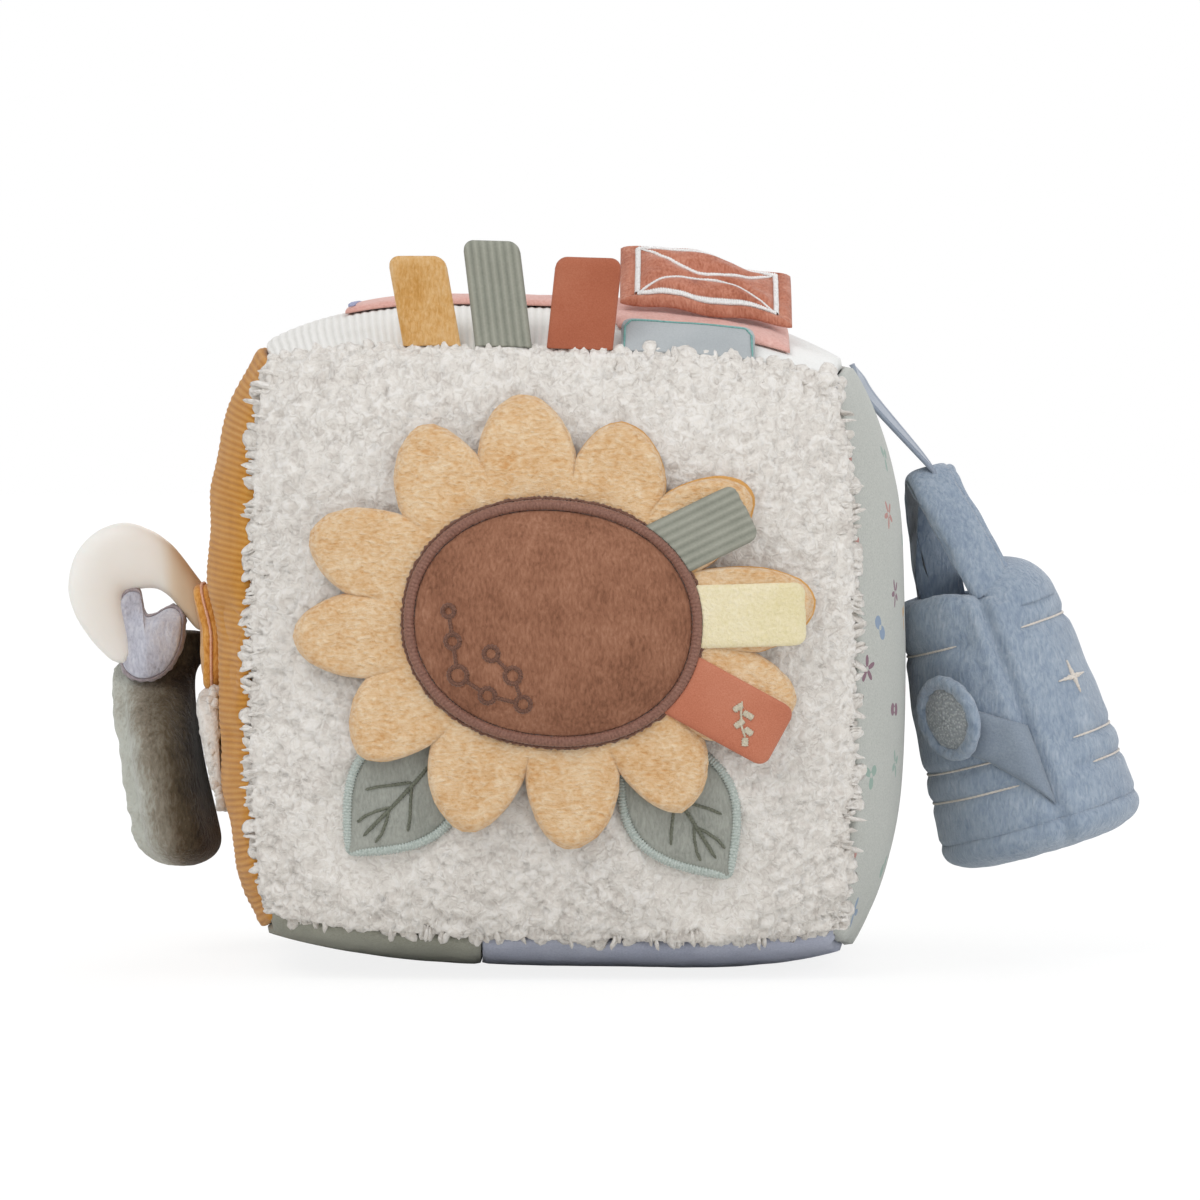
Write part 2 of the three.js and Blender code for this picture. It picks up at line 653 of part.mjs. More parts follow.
const YELLOW_SIZES = [YELLOW_TAB_WIDTH, YELLOW_TAB_HEIGHT, SEAM_TAB_THICK];
const RIBBED_SIZES = [RIBBED_TAB_WIDTH, RIBBED_TAB_HEIGHT, SEAM_TAB_THICK];
const SATIN_SIZES = [SATIN_TAB_WIDTH, SATIN_TAB_HEIGHT, SEAM_TAB_THICK];
const LABEL_SIZES = [LABEL_WIDTH, LABEL_HEIGHT, LABEL_THICK];
const yellowTab = seamTab(YELLOW_TAB_SHARE, ...YELLOW_SIZES, YELLOW_TAB_LEAN, 0);
const ribbedTab = seamTab(RIBBED_TAB_SHARE, ...RIBBED_SIZES, RIBBED_TAB_LEAN, RIBBED_TAB_TILT);
const satinTab = seamTab(SATIN_TAB_SHARE, ...SATIN_SIZES, SATIN_TAB_LEAN, 0);
const labelTab = seamTab(LABEL_SHARE, ...LABEL_SIZES, 0, LABEL_TILT);
piece(model, "seam_tab_yellow", yellowTab, 0xddae63);
piece(model, "seam_tab_ribbed", ribbedTab, 0x969d8f);
piece(model, "seam_tab_satin", satinTab, 0xb65e45, 0.6);
piece(model, "seam_label", labelTab, 0xb9bac5, 0.7);

// Pink patch on the top, wider at the right, and the door flap hinged on it
function patch() {
  const surface = (lift) => (a, b) => {
    const x = mix(PATCH_LEFT, PATCH_RIGHT, a);
    const front = x < PATCH_STEP ? PATCH_WING_FRONT : PATCH_FRONT;
    return onTop(x, mix(front, PATCH_BACK, b), lift);
  };
  return sheet(13, 8, surface(PATCH_LIFT + PATCH_THICK), surface(PATCH_LIFT));
}

function flap() {
  const hinge = onTop(FLAP_X, FLAP_Y, PATCH_LIFT + PATCH_THICK + LAY_GAP);
  const across = vector(cos(FLAP_ROLL * RADIAN), 0, -sin(FLAP_ROLL * RADIAN));
  const inward = vector(0, cos(FLAP_RAISE * RADIAN), sin(FLAP_RAISE * RADIAN));
  const outward = vector(0, 0, 0).crossVectors(across, inward).normalize();
  const surface = (liftAt) => (a, b) => {
    const point = hinge.clone();
    point.addScaledVector(across, (a - 0.5) * FLAP_WIDTH);
    point.addScaledVector(inward, b * FLAP_LENGTH);
    return point.addScaledVector(outward, liftAt(2 * a - 1, 2 * b - 1));
  };
  const top = (a, b) => FLAP_EDGE + FLAP_CROWN * crown(a) * crown(b);
  return sheet(8, 6, surface(top), surface(() => 0));
}

piece(model, "top_patch", patch(), 0xdda79b);
piece(model, "door_flap", flap(), 0xb8654a);

// Watering can: a padded cone hanging by its handle from a ribbon, its bottom turned outward
const canSeam = skin(1, 0, 1);
const canTop = vector(canSeam.x + CAN_TOP_ACROSS, 0, canSeam.z - CAN_TOP_DROP);
const can = new THREE.Group();
can.position.copy(canTop);
can.rotation.y = -CAN_TILT * RADIAN;
model.add(can);

// Heights above the base seam and the places of the stitched channels, as shares of the can's height
const CAN_PROFILE_SHARES = [0, 0.03, 0.11, 0.194, 0.26, 0.322, 0.45, 0.65, 0.78, 0.848, 0.92, 0.975];
const CHANNEL_SHARES = [0.194, 0.322, 0.848];

function canRadius(share) {
  const channel = CHANNEL_SHARES.includes(share) ? CAN_PINCH : 0;
  const rounded = share === 0 ? CAN_PINCH : 0;
  return mix(CAN_BASE_RADIUS, CAN_TOP_RADIUS, share) + CAN_SWELL * sin(PI * share) - channel - rounded;
}

const upright = (geometry) => geometry.rotateX(PI / 2);

function turned(profile, segments) {
  const outline = profile.map(([radius, height]) => new THREE.Vector2(radius, height));
  return upright(new THREE.LatheGeometry(outline, segments));
}

function canBody() {
  const wall = CAN_PROFILE_SHARES.map((share) => [canRadius(share), (share - 1) * CAN_HEIGHT]);
  const shoulder = [CAN_TOP_RADIUS - CAN_DISH, 0];
  return turned([[0, -CAN_HEIGHT], ...wall, shoulder, [0, -CAN_DISH]], 28);
}

function canBase() {
  const top = -CAN_HEIGHT - LAY_GAP;
  const radius = canRadius(0);
  const shares = [0, 0.4, 0.7, 0.88, 0.97, 1];
  const dome = shares.map((share) => [radius * share, top - BASE_DEPTH * sqrt(1 - share ** 3.2)]);
  return turned([...dome, [0, top]], 28);
}

const handleDirection = vector(cos(HANDLE_TURN * RADIAN), sin(HANDLE_TURN * RADIAN), 0);

// Places of the handle's middle line: sideways and front-back as shares of its span, height as a
// share of its rise, from the front foot over the top to the rear foot
const HANDLE_SHARES = [
  [0.2, -0.52, 0.04],
  [0.1, -0.42, 0.42],
  [-0.04, -0.22, 0.86],
  [HANDLE_TOP_SHARE, 0, 1],
  [-0.14, 0.18, 0.86],
  [-0.24, 0.34, 0.42],
  [-0.3, 0.44, 0.04],
];

function handle(extra = 0) {
  const points = HANDLE_SHARES.map(([x, y, z]) => vector(x * HANDLE_SPAN, y * HANDLE_SPAN, z * HANDLE_RISE));
  for (const foot of [points[0], points[points.length - 1]]) {
    foot.z -= extra;
  }
  const curve = new THREE.CatmullRomCurve3(points);
  return bar(curve, 22, handleDirection, () => HANDLE_WIDTH + extra, () => HANDLE_THICK + extra);
}

// The hood covers the outer half of the top; the handle's front foot stands beside it
function hood() {
  const dome = new THREE.SphereGeometry(1, 20, 12);
  dome.scale(CAN_TOP_RADIUS - HOOD_INSET - HOOD_START / 2, CAN_TOP_RADIUS * HOOD_WIDTH_SHARE, HOOD_HEIGHT);
  dome.translate(HOOD_START / 2, 0, 0);
  const room = new THREE.BoxGeometry(CAN_TOP_RADIUS, 2 * CAN_TOP_RADIUS, HOOD_HEIGHT + CUT_OVERRUN);
  room.translate(HOOD_START + CAN_TOP_RADIUS / 2, 0, LAY_GAP + (HOOD_HEIGHT + CUT_OVERRUN) / 2);
  return fromSolid(solid(dome).intersect(solid(room)).subtract(solid(handle(4 * LAY_GAP))));
}

// A point on the can's wall: degrees from the front toward the cube, distance below the top
function onCan(degrees, below, lift) {
  const share = 1 - below / CAN_HEIGHT;
  const radius = mix(CAN_BASE_RADIUS, CAN_TOP_RADIUS, share) + CAN_SWELL * sin(PI * share) + lift;
  return vector(-radius * sin(degrees * RADIAN), -radius * cos(degrees * RADIAN), -below);
}

// The flat cloth of the spout: narrow at the rose, wide where it meets the can's side seam
function spout() {
  const surface = (lift) => (a, b) => {
    const turn = mix(SPOUT_ROSE_TURN, SPOUT_ROOT_TURN, a);
    const top = mix(SPOUT_ROSE_TOP, SPOUT_ROOT_TOP, a);
    const bottom = mix(SPOUT_ROSE_BOTTOM, SPOUT_ROOT_BOTTOM, a);
    return onCan(turn, mix(top, bottom, b), lift);
  };
  return sheet(5, 4, surface(LAY_GAP + SPOUT_THICK), surface(LAY_GAP));
}

piece(can, "can_body", canBody(), 0x8796a9);
piece(can, "can_base", canBase(), 0x8796a9);
piece(can, "can_handle", handle(), 0x8796a9);
piece(can, "can_hood", hood(), 0x8796a9);
piece(can, "can_spout", spout(), 0x8e9bab, 0.7);

// The rose: a padded ring and a flat face in it, both turned toward the flower side
const rose = new THREE.Group();
rose.position.copy(onCan(ROSE_TURN, ROSE_BELOW, ROSE_ROLL + SPOUT_THICK));
rose.rotation.z = -ROSE_FACING * RADIAN;
can.add(rose);
const faceRadius = ROSE_RADIUS - ROSE_ROLL - LAY_GAP;
const roseFace = new THREE.CylinderGeometry(faceRadius, faceRadius, ROSE_FACE_THICK, 20);
piece(rose, "can_rose_ring", upright(new THREE.TorusGeometry(ROSE_RADIUS, ROSE_ROLL, 8, 22)), 0x8796a9);
piece(rose, "can_rose_face", roseFace, 0x85898c, 0.5);

// Ribbon strap: from the seam over the shoulder of the side to the top of the handle
const canPivot = can.localToWorld(
  vector(HANDLE_TOP_SHARE * HANDLE_SPAN, 0, HANDLE_RISE + HANDLE_THICK / 2 + LAY_GAP),
);

function strap() {
  const clear = LAY_GAP + STRAP_THICK / 2;
  const points = STRAP_SHARES.map(([height, out, up]) =>
    skin(1, 0, height).add(vector(clear * out, 0, clear * up)),
  );
  points.push(canPivot.clone().add(vector(0, 0, STRAP_THICK / 2)));
  const curve = new THREE.CatmullRomCurve3(points);
  const surface = (sign) => (a, b) => {
    const tangent = curve.getTangent(b);
    const normal = vector(tangent.z, 0, -tangent.x);
    const point = curve.getPoint(b);
    point.y += (a - 0.5) * STRAP_WIDTH;
    return point.addScaledVector(normal, (sign * STRAP_THICK) / 2);
  };
  return sheet(2, 8, surface(1), surface(-1));
}

piece(model, "can_strap", strap(), 0x9ba3b0, 0.6);

// Teether toy on the left: a padded holder sewn to the side, a smooth hook, a plush bulb and a
// long plush pad that hangs beside a fleece patch
const drawnIn = (share) => sqrt(1 - SOFT_CORNER_SHARE * abs(2 * share - 1) ** SOFT_CORNER_POWER);

function holder() {
  const surface = (liftAt) => (a, b) => {
    const y = (a - 0.5) * HOLDER_WIDTH * drawnIn(b);
    const z = HOLDER_MIDDLE_HEIGHT + (b - 0.5) * HOLDER_HEIGHT;
    return onLeft(y, z, liftAt(2 * a - 1, 2 * b - 1));
  };
  const outer = (a, b) => LAY_GAP + HOLDER_THICK * mix(HOLDER_EDGE_SHARE, 1, crown(a) * crown(b));
  return sheet(5, 6, surface(outer), surface(() => LAY_GAP));
}

const hookRoot = onLeft(0, HOOK_ROOT_HEIGHT, 3 * LAY_GAP + HOLDER_THICK);

// Outer and inner edge of the hook from its root to its tip, as shares of its reach and height
const HOOK_SHARES = [
  [0, 0.2, 0, -0.19],
  [-0.08, 0.28, -0.08, -0.1],
  [-0.17, 0.36, -0.16, -0.02],
  [-0.31, 0.44, -0.26, 0.03],
  [-0.51, 0.49, -0.39, 0.03],
  [-0.73, 0.43, -0.49, 0.01],
  [-0.9, 0.27, -0.52, -0.04],
  [-0.96, 0.05, -0.51, -0.1],
  [-0.91, -0.14, -0.49, -0.19],
  [-0.8, -0.3, -0.46, -0.28],
  [-0.7, -0.4, -0.45, -0.34],
  [-0.61, -0.47, -0.45, -0.4],
  [-0.55, -0.49, -0.48, -0.45],
];
const HOOK_SIDES = 10;

function hook() {
  const last = HOOK_SHARES.length - 1;
  const edge = (x, z) => vector(hookRoot.x + x * HOOK_REACH, 0, hookRoot.z + z * HOOK_HEIGHT);
  const surface = (turn, share) => {
    const place = share * last;
    const index = min(Math.floor(place), last - 1);
    const at = (column) => mix(HOOK_SHARES[index][column], HOOK_SHARES[index + 1][column], place - index);
    const outer = edge(at(0), at(1));
    const inner = edge(at(2), at(3));
    const thin = sqrt(1 - TIP_DRAW_SHARE * max((share - 1) / TIP_SHARE + 1, 0) ** 3);
    const point = outer.lerp(inner, (1 - cos(turn)) / 2);
    point.y = (sin(turn) * HOOK_THICK * thin) / 2;
    return point;
  };
  return loft(2 * last, HOOK_SIDES, surface);
}

piece(model, "toy_holder", holder(), 0xd39a4a);
piece(model, "toy_hook", hook(), 0xe0ddd6, 0.45);

// The plush bulb fills the hook: a high lobe under its arch, a notch, and a low lobe beside it.
// Its outline is given from its middle, as shares of its width and height.
const BULB_SHARES = [
  [0.65, 0.15],
  [0.56, 0.24],
  [0.45, 0.27],
  [0.3, 0.27],
  [0.12, 0.23],
  [0.04, 0.22],
  [0.03, 0.43],
  [0.01, 0.56],
  [-0.15, 0.58],
  [-0.28, 0.55],
  [-0.34, 0.48],
  [-0.32, 0.4],
  [-0.27, 0.22],
  [-0.21, 0],
  [-0.2, -0.15],
  [-0.25, -0.32],
  [-0.13, -0.41],
  [0.13, -0.4],
  [0.43, -0.28],
  [0.61, -0.06],
];
const bulbMiddle = vector(hookRoot.x - BULB_INSET, 0, hookRoot.z - BULB_DROP);

function bulb() {
  const count = BULB_SHARES.length;
  const surface = (sign) => (angle, share) => {
    const index = Math.round((angle / (2 * PI)) * count) % count;
    const [x, z] = BULB_SHARES[index];
    const y = ((sign * BULB_THICK) / 2) * sqrt(1 - BULB_EDGE_SHARE * share ** 3);
    return vector(x * BULB_WIDTH * share, y, z * BULB_HEIGHT * share).add(bulbMiddle);
  };
  return disc(count, 3, surface(-1), surface(1));
}

// The long pad swells below the bulb, leans toward the cube and tapers at its foot
function dangle() {
  const top = bulbMiddle.z - DANGLE_DROP;
  const points = DANGLE_SHARES.map(([across, down]) =>
    vector(bulbMiddle.x + across * DANGLE_WIDTH, 0, top - down * DANGLE_LENGTH),
  );
  const taper = (share) => sqrt(1 - DANGLE_TAPER_SHARE * abs(2 * share - 1) ** DANGLE_TAPER_POWER);
  const widthAt = (share) => DANGLE_WIDTH * taper(share);
  const depthAt = (share) => DANGLE_DEPTH * taper(share);
  return bar(new THREE.CatmullRomCurve3(points), 12, vector(0, 1, 0), depthAt, widthAt, 14);
}

function fleece() {
  const surface = (liftAt) => (a, b) => {
    const y = (a - 0.5) * FLEECE_WIDTH * drawnIn(b);
    return onLeft(y, FLEECE_TOP - FLEECE_HEIGHT * (1 - b), liftAt);
  };
  return sheet(6, 5, surface(LAY_GAP + FLEECE_THICK), surface(LAY_GAP));
}

piece(model, "toy_bulb", bulb(), 0xbdbbc8);
piece(model, "toy_dangle", dangle(), 0x8c8c7e);
piece(model, "fleece_patch", fleece(), 0xded9d3, 1);

export default model;
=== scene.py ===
# Soft activity cube: cloth panels round a stuffed core, a sewn sunflower, ribbon tabs, a padded
# flap, a hanging plush watering can and a hanging teether toy. Sizes here are millimetres; each
# mesh is turned to metres when its piece is made.

import random
from math import atan2, copysign, cos, exp, hypot, pi, radians, sin, sqrt, tan

import bmesh
import bpy
from mathutils import Matrix, Vector, noise


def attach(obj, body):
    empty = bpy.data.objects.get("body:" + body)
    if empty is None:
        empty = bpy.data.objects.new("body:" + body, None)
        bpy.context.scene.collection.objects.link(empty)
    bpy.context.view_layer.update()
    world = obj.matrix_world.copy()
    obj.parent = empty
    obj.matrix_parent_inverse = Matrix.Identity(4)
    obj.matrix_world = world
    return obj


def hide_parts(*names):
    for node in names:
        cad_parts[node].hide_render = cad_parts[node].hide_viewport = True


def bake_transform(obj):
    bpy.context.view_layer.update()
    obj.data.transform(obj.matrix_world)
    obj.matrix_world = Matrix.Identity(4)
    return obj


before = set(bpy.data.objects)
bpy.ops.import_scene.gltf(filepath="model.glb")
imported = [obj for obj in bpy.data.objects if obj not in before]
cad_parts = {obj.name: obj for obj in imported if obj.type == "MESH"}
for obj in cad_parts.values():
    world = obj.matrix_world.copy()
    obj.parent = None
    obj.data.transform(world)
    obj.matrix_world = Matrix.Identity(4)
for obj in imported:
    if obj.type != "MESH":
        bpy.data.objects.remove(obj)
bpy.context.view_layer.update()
noise.seed_set(7)  # the pile curls the same way in every run

# Stuffed core
# Loose polyester fibre fills the whole cube and pushes each cloth face out between its seams.
# It is never seen, and gives the cube its crowned faces and its flattened underside.
MM = 0.001
SEAM_HALF = 67  # half the distance between opposite corners of a face
SEAM_BOW = 5
SIDE_BULGE = 14
FACE_BULGE = 12
TOP_BULGE = 12
BOTTOM_BULGE = 6.5
CENTRE_HEIGHT = 78
CROWN_POWER = 3.6
LEAN_SHARE = 0.03
CORE_DEPTH = 2.8
CORE_CUTS = 23
SIDE_DENT = 2.8
DENT_BOTTOM, DENT_TOP = (12, 30), (94, 79)  # heights where the dent ends and where it is full
SOLVE_PASSES = 8


def mix(low, high, share):
    return low + (high - low) * share


def smooth(low, high, value):
    share = min(max((value - low) / (high - low), 0), 1)
    return share * share * (3 - 2 * share)


def bump_at(value, middle, half):
    """A smooth hill of height 1 over a middle."""
    return exp(-(((value - middle) / half) ** 2))


def wobble(*place):
    """Smooth noise between about -0.7 and 0.7 at a place."""
    return noise.noise(Vector(place))


def polar(radius, angle):
    return Vector((radius * cos(angle), radius * sin(angle)))


def powered(value, power):
    """A power that keeps the sign, to square up or round off a circle."""
    return copysign(abs(value) ** power, value)


def filled(a, b, power, least=0):
    """How full a pad is near its edge: a high power keeps it full up to a tight rim."""
    return sqrt(max(1 - max(abs(a), abs(b)) ** power, least))


def crown(share):
    return 1 - abs(share) ** CROWN_POWER


def half_size(bulge, a, b):
    along, across = crown(a), crown(b)
    return SEAM_HALF + SEAM_BOW * (along + across - along * across) + bulge * along * across


def skin(u, v, w, depth=0):
    """A point of the cube's skin; u, v and w run from -1 to 1 along X, Y and Z."""
    x = u * (half_size(SIDE_BULGE, v, w) - depth)
    y = v * (half_size(FACE_BULGE, u, w) - depth)
    half_height = half_size(TOP_BULGE if w > 0 else BOTTOM_BULGE, u, v)
    z = CENTRE_HEIGHT + w * (half_height - depth) - LEAN_SHARE * x
    return Vector((x, y, max(z, depth)))


def side_dent(y, z):
    """How far the left side is pulled in below the root of the hanging toy."""
    down = smooth(*DENT_TOP, z) * smooth(*DENT_BOTTOM, z)
    return SIDE_DENT * down * (1 - min(abs(y) / SEAM_HALF, 1) ** 3)


def linear(hex_colour):
    """An sRGB hex colour as the linear colour that a shader takes."""
    parts = [int(hex_colour[i : i + 2], 16) / 255 for i in (1, 3, 5)]
    return [p / 12.92 if p <= 0.04045 else ((p + 0.055) / 1.055) ** 2.4 for p in parts] + [1]


def add(tree, kind, sockets=None, **settings):
    """A node with its settings; a socket's value is a constant or the output that feeds it."""
    node = tree.nodes.new("ShaderNode" + kind)
    for key, value in settings.items():
        setattr(node, key, value)
    for key, value in (sockets or {}).items():
        if isinstance(value, bpy.types.NodeSocket):
            tree.links.new(value, node.inputs[key])
        else:
            node.inputs[key].default_value = value
    return node


def maths(tree, operation, *values):
    return add(tree, "Math", dict(enumerate(values)), operation=operation).outputs[0]


def vectors(tree, operation, *values, **more):
    sockets = dict(enumerate(values)) | more
    return add(tree, "VectorMath", sockets, operation=operation).outputs[0]


def grain(tree, place, size, detail=3, roughness=0.5, distortion=0):
    """Noise with spots about as wide as a size in millimetres."""
    sockets = {"Vector": place, "Scale": 1 / (size * MM), "Detail": detail}
    sockets |= {"Roughness": roughness, "Distortion": distortion}
    return add(tree, "TexNoise", sockets).outputs


def blended(tree, share, first, second):
    """Two patterns mixed, with the given share of the second."""
    return add(tree, "Mix", {"Factor": share, "A": first, "B": second}).outputs["Result"]


def shader(name, roughness, sheen=0.0, specular=0.3):
    """A new material, its tree, its surface and its own coordinates."""
    material = bpy.data.materials.new(name)
    material.use_nodes = True
    tree = material.node_tree
    surface = tree.nodes["Principled BSDF"]
    surface.inputs["Roughness"].default_value = roughness
    surface.inputs["Specular IOR Level"].default_value = specular
    surface.inputs["Sheen Weight"].default_value = sheen
    surface.inputs["Sheen Roughness"].default_value = 0.4
    return material, tree, surface, add(tree, "TexCoord").outputs


def tint(tree, factor, low, high, colours):
    """Colours spread over a pattern, between the two given values of it."""
    ramp = add(tree, "ValToRGB", {"Fac": factor})
    stops = ramp.color_ramp.elements
    while len(stops) < len(colours):
        stops.new(0.5)
    for index, colour in enumerate(colours):
        stops[index].position = mix(low, high, index / (len(colours) - 1))
        stops[index].color = linear(colour)
    return ramp.outputs["Color"]


def dress(tree, surface, colour, height, strength, depth):
    """Gives a surface its colour, and a bump from a pattern of a depth in millimetres."""
    tree.links.new(colour, surface.inputs["Base Color"])
    bump = add(tree, "Bump", {"Height": height, "Strength": strength, "Distance": depth * MM})
    tree.links.new(bump.outputs["Normal"], surface.inputs["Normal"])


def swirled(tree, place, size, reach, onto):
    """A place moved by noise of a size and a reach in millimetres."""
    swirl = grain(tree, place, size, 2)["Color"]
    return vectors(tree, "MULTIPLY_ADD", swirl, [reach * MM] * 3, onto)


def plush(
    name, colours, pile=0.7, patch=14, nap=(1, 1, 0.35), sheen=0.35, relief=0.5, patchy=0.45, painted_light_at=None
):
    """Short polyester pile: fibres a few tenths wide that lie over in brushed patches. The last
    argument paints light and shade round a tube: it is the share of the way round, from 0 to 1,
    where the painted light is brightest, and the far side is painted in shade."""
    material, tree, surface, place = shader(name, 0.95, sheen, 0.15)
    brushed = add(tree, "Mapping", {"Vector": place["Object"], "Scale": nap}).outputs["Vector"]
    bent = swirled(tree, place["Object"], 4, 1.2, brushed)
    fibres = grain(tree, bent, pile, 4, 0.65)["Fac"]
    patches = grain(tree, place["Object"], patch, 3, 0.6)["Fac"]
    pattern = blended(tree, patchy, fibres, patches)
    if painted_light_at is not None:
        # Painted light and shade: lighter on one side of the tube, darker on the far side.
        round_way = add(tree, "SeparateXYZ", {"Vector": place["UV"]}).outputs["X"]
        turn = maths(tree, "MULTIPLY_ADD", round_way, 2 * pi, -2 * pi * painted_light_at)
        painted_light_range = {"Value": maths(tree, "COSINE", turn), "From Min": -1, "From Max": 1}
        painted_light_range |= {"To Min": 0.2, "To Max": 0.85}
        painted_light_and_shade = add(tree, "MapRange", painted_light_range).outputs["Result"]
        pattern = blended(tree, 0.6, pattern, painted_light_and_shade)
    dress(tree, surface, tint(tree, pattern, 0.34, 0.66, colours), fibres, relief, pile)
    return material


def grid(columns, rows):
    mesh = bmesh.new()
    mesh.loops.layers.uv.new("cloth")
    bmesh.ops.create_grid(mesh, x_segments=columns, y_segments=rows, size=1, calc_uvs=True)
    return mesh


def slab(columns, rows, place):
    """A closed pad: a grid and its copy, joined round the rim. place(a, b, side) has side 1 or -1."""
    mesh = grid(columns, rows)
    lifted = bmesh.ops.extrude_face_region(mesh, geom=mesh.faces[:], use_keep_orig=True)["geom"]
    fronts = {part for part in lifted if isinstance(part, bmesh.types.BMVert)}
    for point in mesh.verts:
        point.co = place(point.co.x, point.co.y, 1 if point in fronts else -1)
    bmesh.ops.recalc_face_normals(mesh, faces=mesh.faces[:])
    return mesh


def wrapped(columns, rows, place):
    """A closed tube or ball: a grid rolled up so that its first and last columns meet. Its points
    go where place(a, b) says, both from -1 to 1."""
    mesh = grid(columns, rows)
    for point in mesh.verts:
        point.co = place(point.co.x, point.co.y)
    bmesh.ops.remove_doubles(mesh, verts=mesh.verts[:], dist=0.01)
    bmesh.ops.holes_fill(mesh, edges=mesh.edges[:], sides=0)
    bmesh.ops.recalc_face_normals(mesh, faces=mesh.faces[:])
    return mesh


def made(name, mesh, material, slot, stands_for=(), body="cube", fill=None):
    """Turns a mesh in millimetres into a piece that rides on a body, or on none yet. The fill
    given for a padded piece is not used."""
    bmesh.ops.scale(mesh, vec=(MM, MM, MM), verts=mesh.verts[:])
    for face in mesh.faces:
        face.smooth = True
    data = bpy.data.meshes.new(name)
    mesh.to_mesh(data)
    mesh.free()
    data.materials.append(material)
    piece = bpy.data.objects.new(name, data)
    bpy.context.scene.collection.objects.link(piece)
    if body:
        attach(piece, body)
    if stands_for:
        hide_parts(*stands_for)
    return piece


stuffing = bmesh.new()
bmesh.ops.create_cube(stuffing, size=2)
bmesh.ops.subdivide_edges(stuffing, edges=stuffing.edges[:], cuts=CORE_CUTS, use_grid_fill=True)
for point in stuffing.verts:
    spot = skin(*point.co, CORE_DEPTH)
    spot.x += side_dent(spot.y, spot.z) if point.co.x < -0.99 else 0
    point.co = spot
fibre = plush("polyester_fibre", ["#E6E3DC", "#F6F4EF"], pile=3, relief=0.4)
made("stuffing", stuffing, fibre, "stuffing", ["core_fill"], fill=0.9)

# Cloth panels
# Eight cut panels make the six faces; the top and the bottom are each pieced from two cloths.
# They are sewn right sides together and turned, so each edge rolls into its seam with small puckers.
PANEL_THICK = 1.2
SEAM_ROLL = 2
SPLIT_ROLL = 0.8
SEAM_GAP = 0.2
TOP_SPLIT = 0.2
BOTTOM_SPLIT = -0.25
PUCKER_DEPTH = 0.7
PUCKER_LENGTH = 6
PUCKER_REACH = 13
SOFT_WAVE = 0.6
LONG_WAVE = 30
RELIEF_LIMIT = 2.6
HEM_RISE = 0.055  # how far the bottom cloths turn up on to the front, as a share of its half height
HEM_LIFT = 2.2


def roll(distance, radius):
    """How far cloth has sunk at a distance from the seam into which it rolls."""
    gap = 1 - min(max(distance, 0), radius) / radius
    return radius * (1 - sqrt(max(1 - gap * gap, 0)))


def pucker(a, b, seed):
    """Small folds that run square to the seams and die away from them."""
    across, along = a * SEAM_HALF, b * SEAM_HALF
    to_side, to_end = SEAM_HALF - abs(across), SEAM_HALF - abs(along)
    folds = wobble(across / LONG_WAVE, along / PUCKER_LENGTH, seed) * exp(-to_side / PUCKER_REACH)
    folds += wobble(across / PUCKER_LENGTH, along / LONG_WAVE, seed + 9) * exp(-to_end / PUCKER_REACH)
    return PUCKER_DEPTH * folds + SOFT_WAVE * wobble(across / 40, along / 40, seed + 5)


def pressed(spot):
    return spot + Vector((side_dent(spot.y, spot.z), 0, 0))


def hemmed(a, b, depth):
    """The bottom, whose front edge turns up round the corner to meet the front cloth."""
    turned = 2 * HEM_RISE
    if b > -1 + turned:
        return skin(a, b, -1, depth)
    t = (b + 1) / turned
    front, corner, under = skin(a, -1, -1 + HEM_RISE), skin(a, -1, -1), skin(a, -1 + turned, -1)
    spot = front * (1 - t) ** 2 + corner * 2 * t * (1 - t) + under * t * t
    lifted = 2 * t * (1 - t) * (HEM_LIFT * bump_at(a, 0.02, 0.16) + wobble(a * 4, 1, 2))
    return spot + Vector((0, depth * (1 - t), depth * t + lifted))


FACES = {
    "front": lambda a, b, depth: skin(a, -1, mix(-1 + HEM_RISE, 1, (b + 1) / 2), depth),
    "back": lambda a, b, depth: skin(a, 1, b, depth),
    "left": lambda a, b, depth: pressed(skin(-1, a, b, depth)),
    "right": lambda a, b, depth: skin(1, a, b, depth),
    "top": lambda a, b, depth: skin(a, b, 1, depth),
    "bottom": hemmed,
}


def panel(name, face, material, slot, node, size, seed, relief=None, span=(-1, 1)):
    """A cloth panel; relief(a, b) is what its pile or ribs add to its height."""
    inset = SEAM_GAP / SEAM_HALF

    def place(a, b, side):
        across = mix(span[0] + inset, span[1] - inset, (a + 1) / 2)
        along = b * (1 - inset)
        depth = roll((1 - abs(along)) * SEAM_HALF, SEAM_ROLL)
        for edge in span:
            radius = SEAM_ROLL if abs(edge) == 1 else SPLIT_ROLL
            depth = max(depth, roll(abs(across - edge) * SEAM_HALF, radius))
        if side < 0:
            return FACES[face](across, along, depth + PANEL_THICK)
        depth -= pucker(across, along, seed)
        if relief:
            depth -= relief(across, along)
        return FACES[face](across, along, min(max(depth, -RELIEF_LIMIT), SEAM_ROLL + 0.3))

    piece = made(name, slab(*size, place), material, slot, [node])


def curls(point, size, height):
    """Woolly clumps: bent ridges about as wide as the given size."""
    spot = Vector(point) / size
    bent = spot + 0.9 * noise.noise_vector(spot * 0.8)
    return height * (0.75 * (1 - abs(noise.noise(bent)) * 2.2) + 0.35 * noise.noise(bent * 2.7))


# Sherpa front: curly polyester pile on a knitted back; its clumps hide the back and the seams.
SHERPA_CLUMP = 3.1
SHERPA_HEIGHT = 1.05
FLOWER_PRESS = 52  # the pile is pressed flat under the flower, out to this distance
LEAF_PRESS = 16.5  # and this far beside the middle lines of the leaves
LEAF_LINES = [(Vector((-19, -22)), Vector((-50, -58))), (Vector((17, -24)), Vector((43, -64)))]
FACE_REACH = (79, 77)
FLOWER_ABOVE = 6


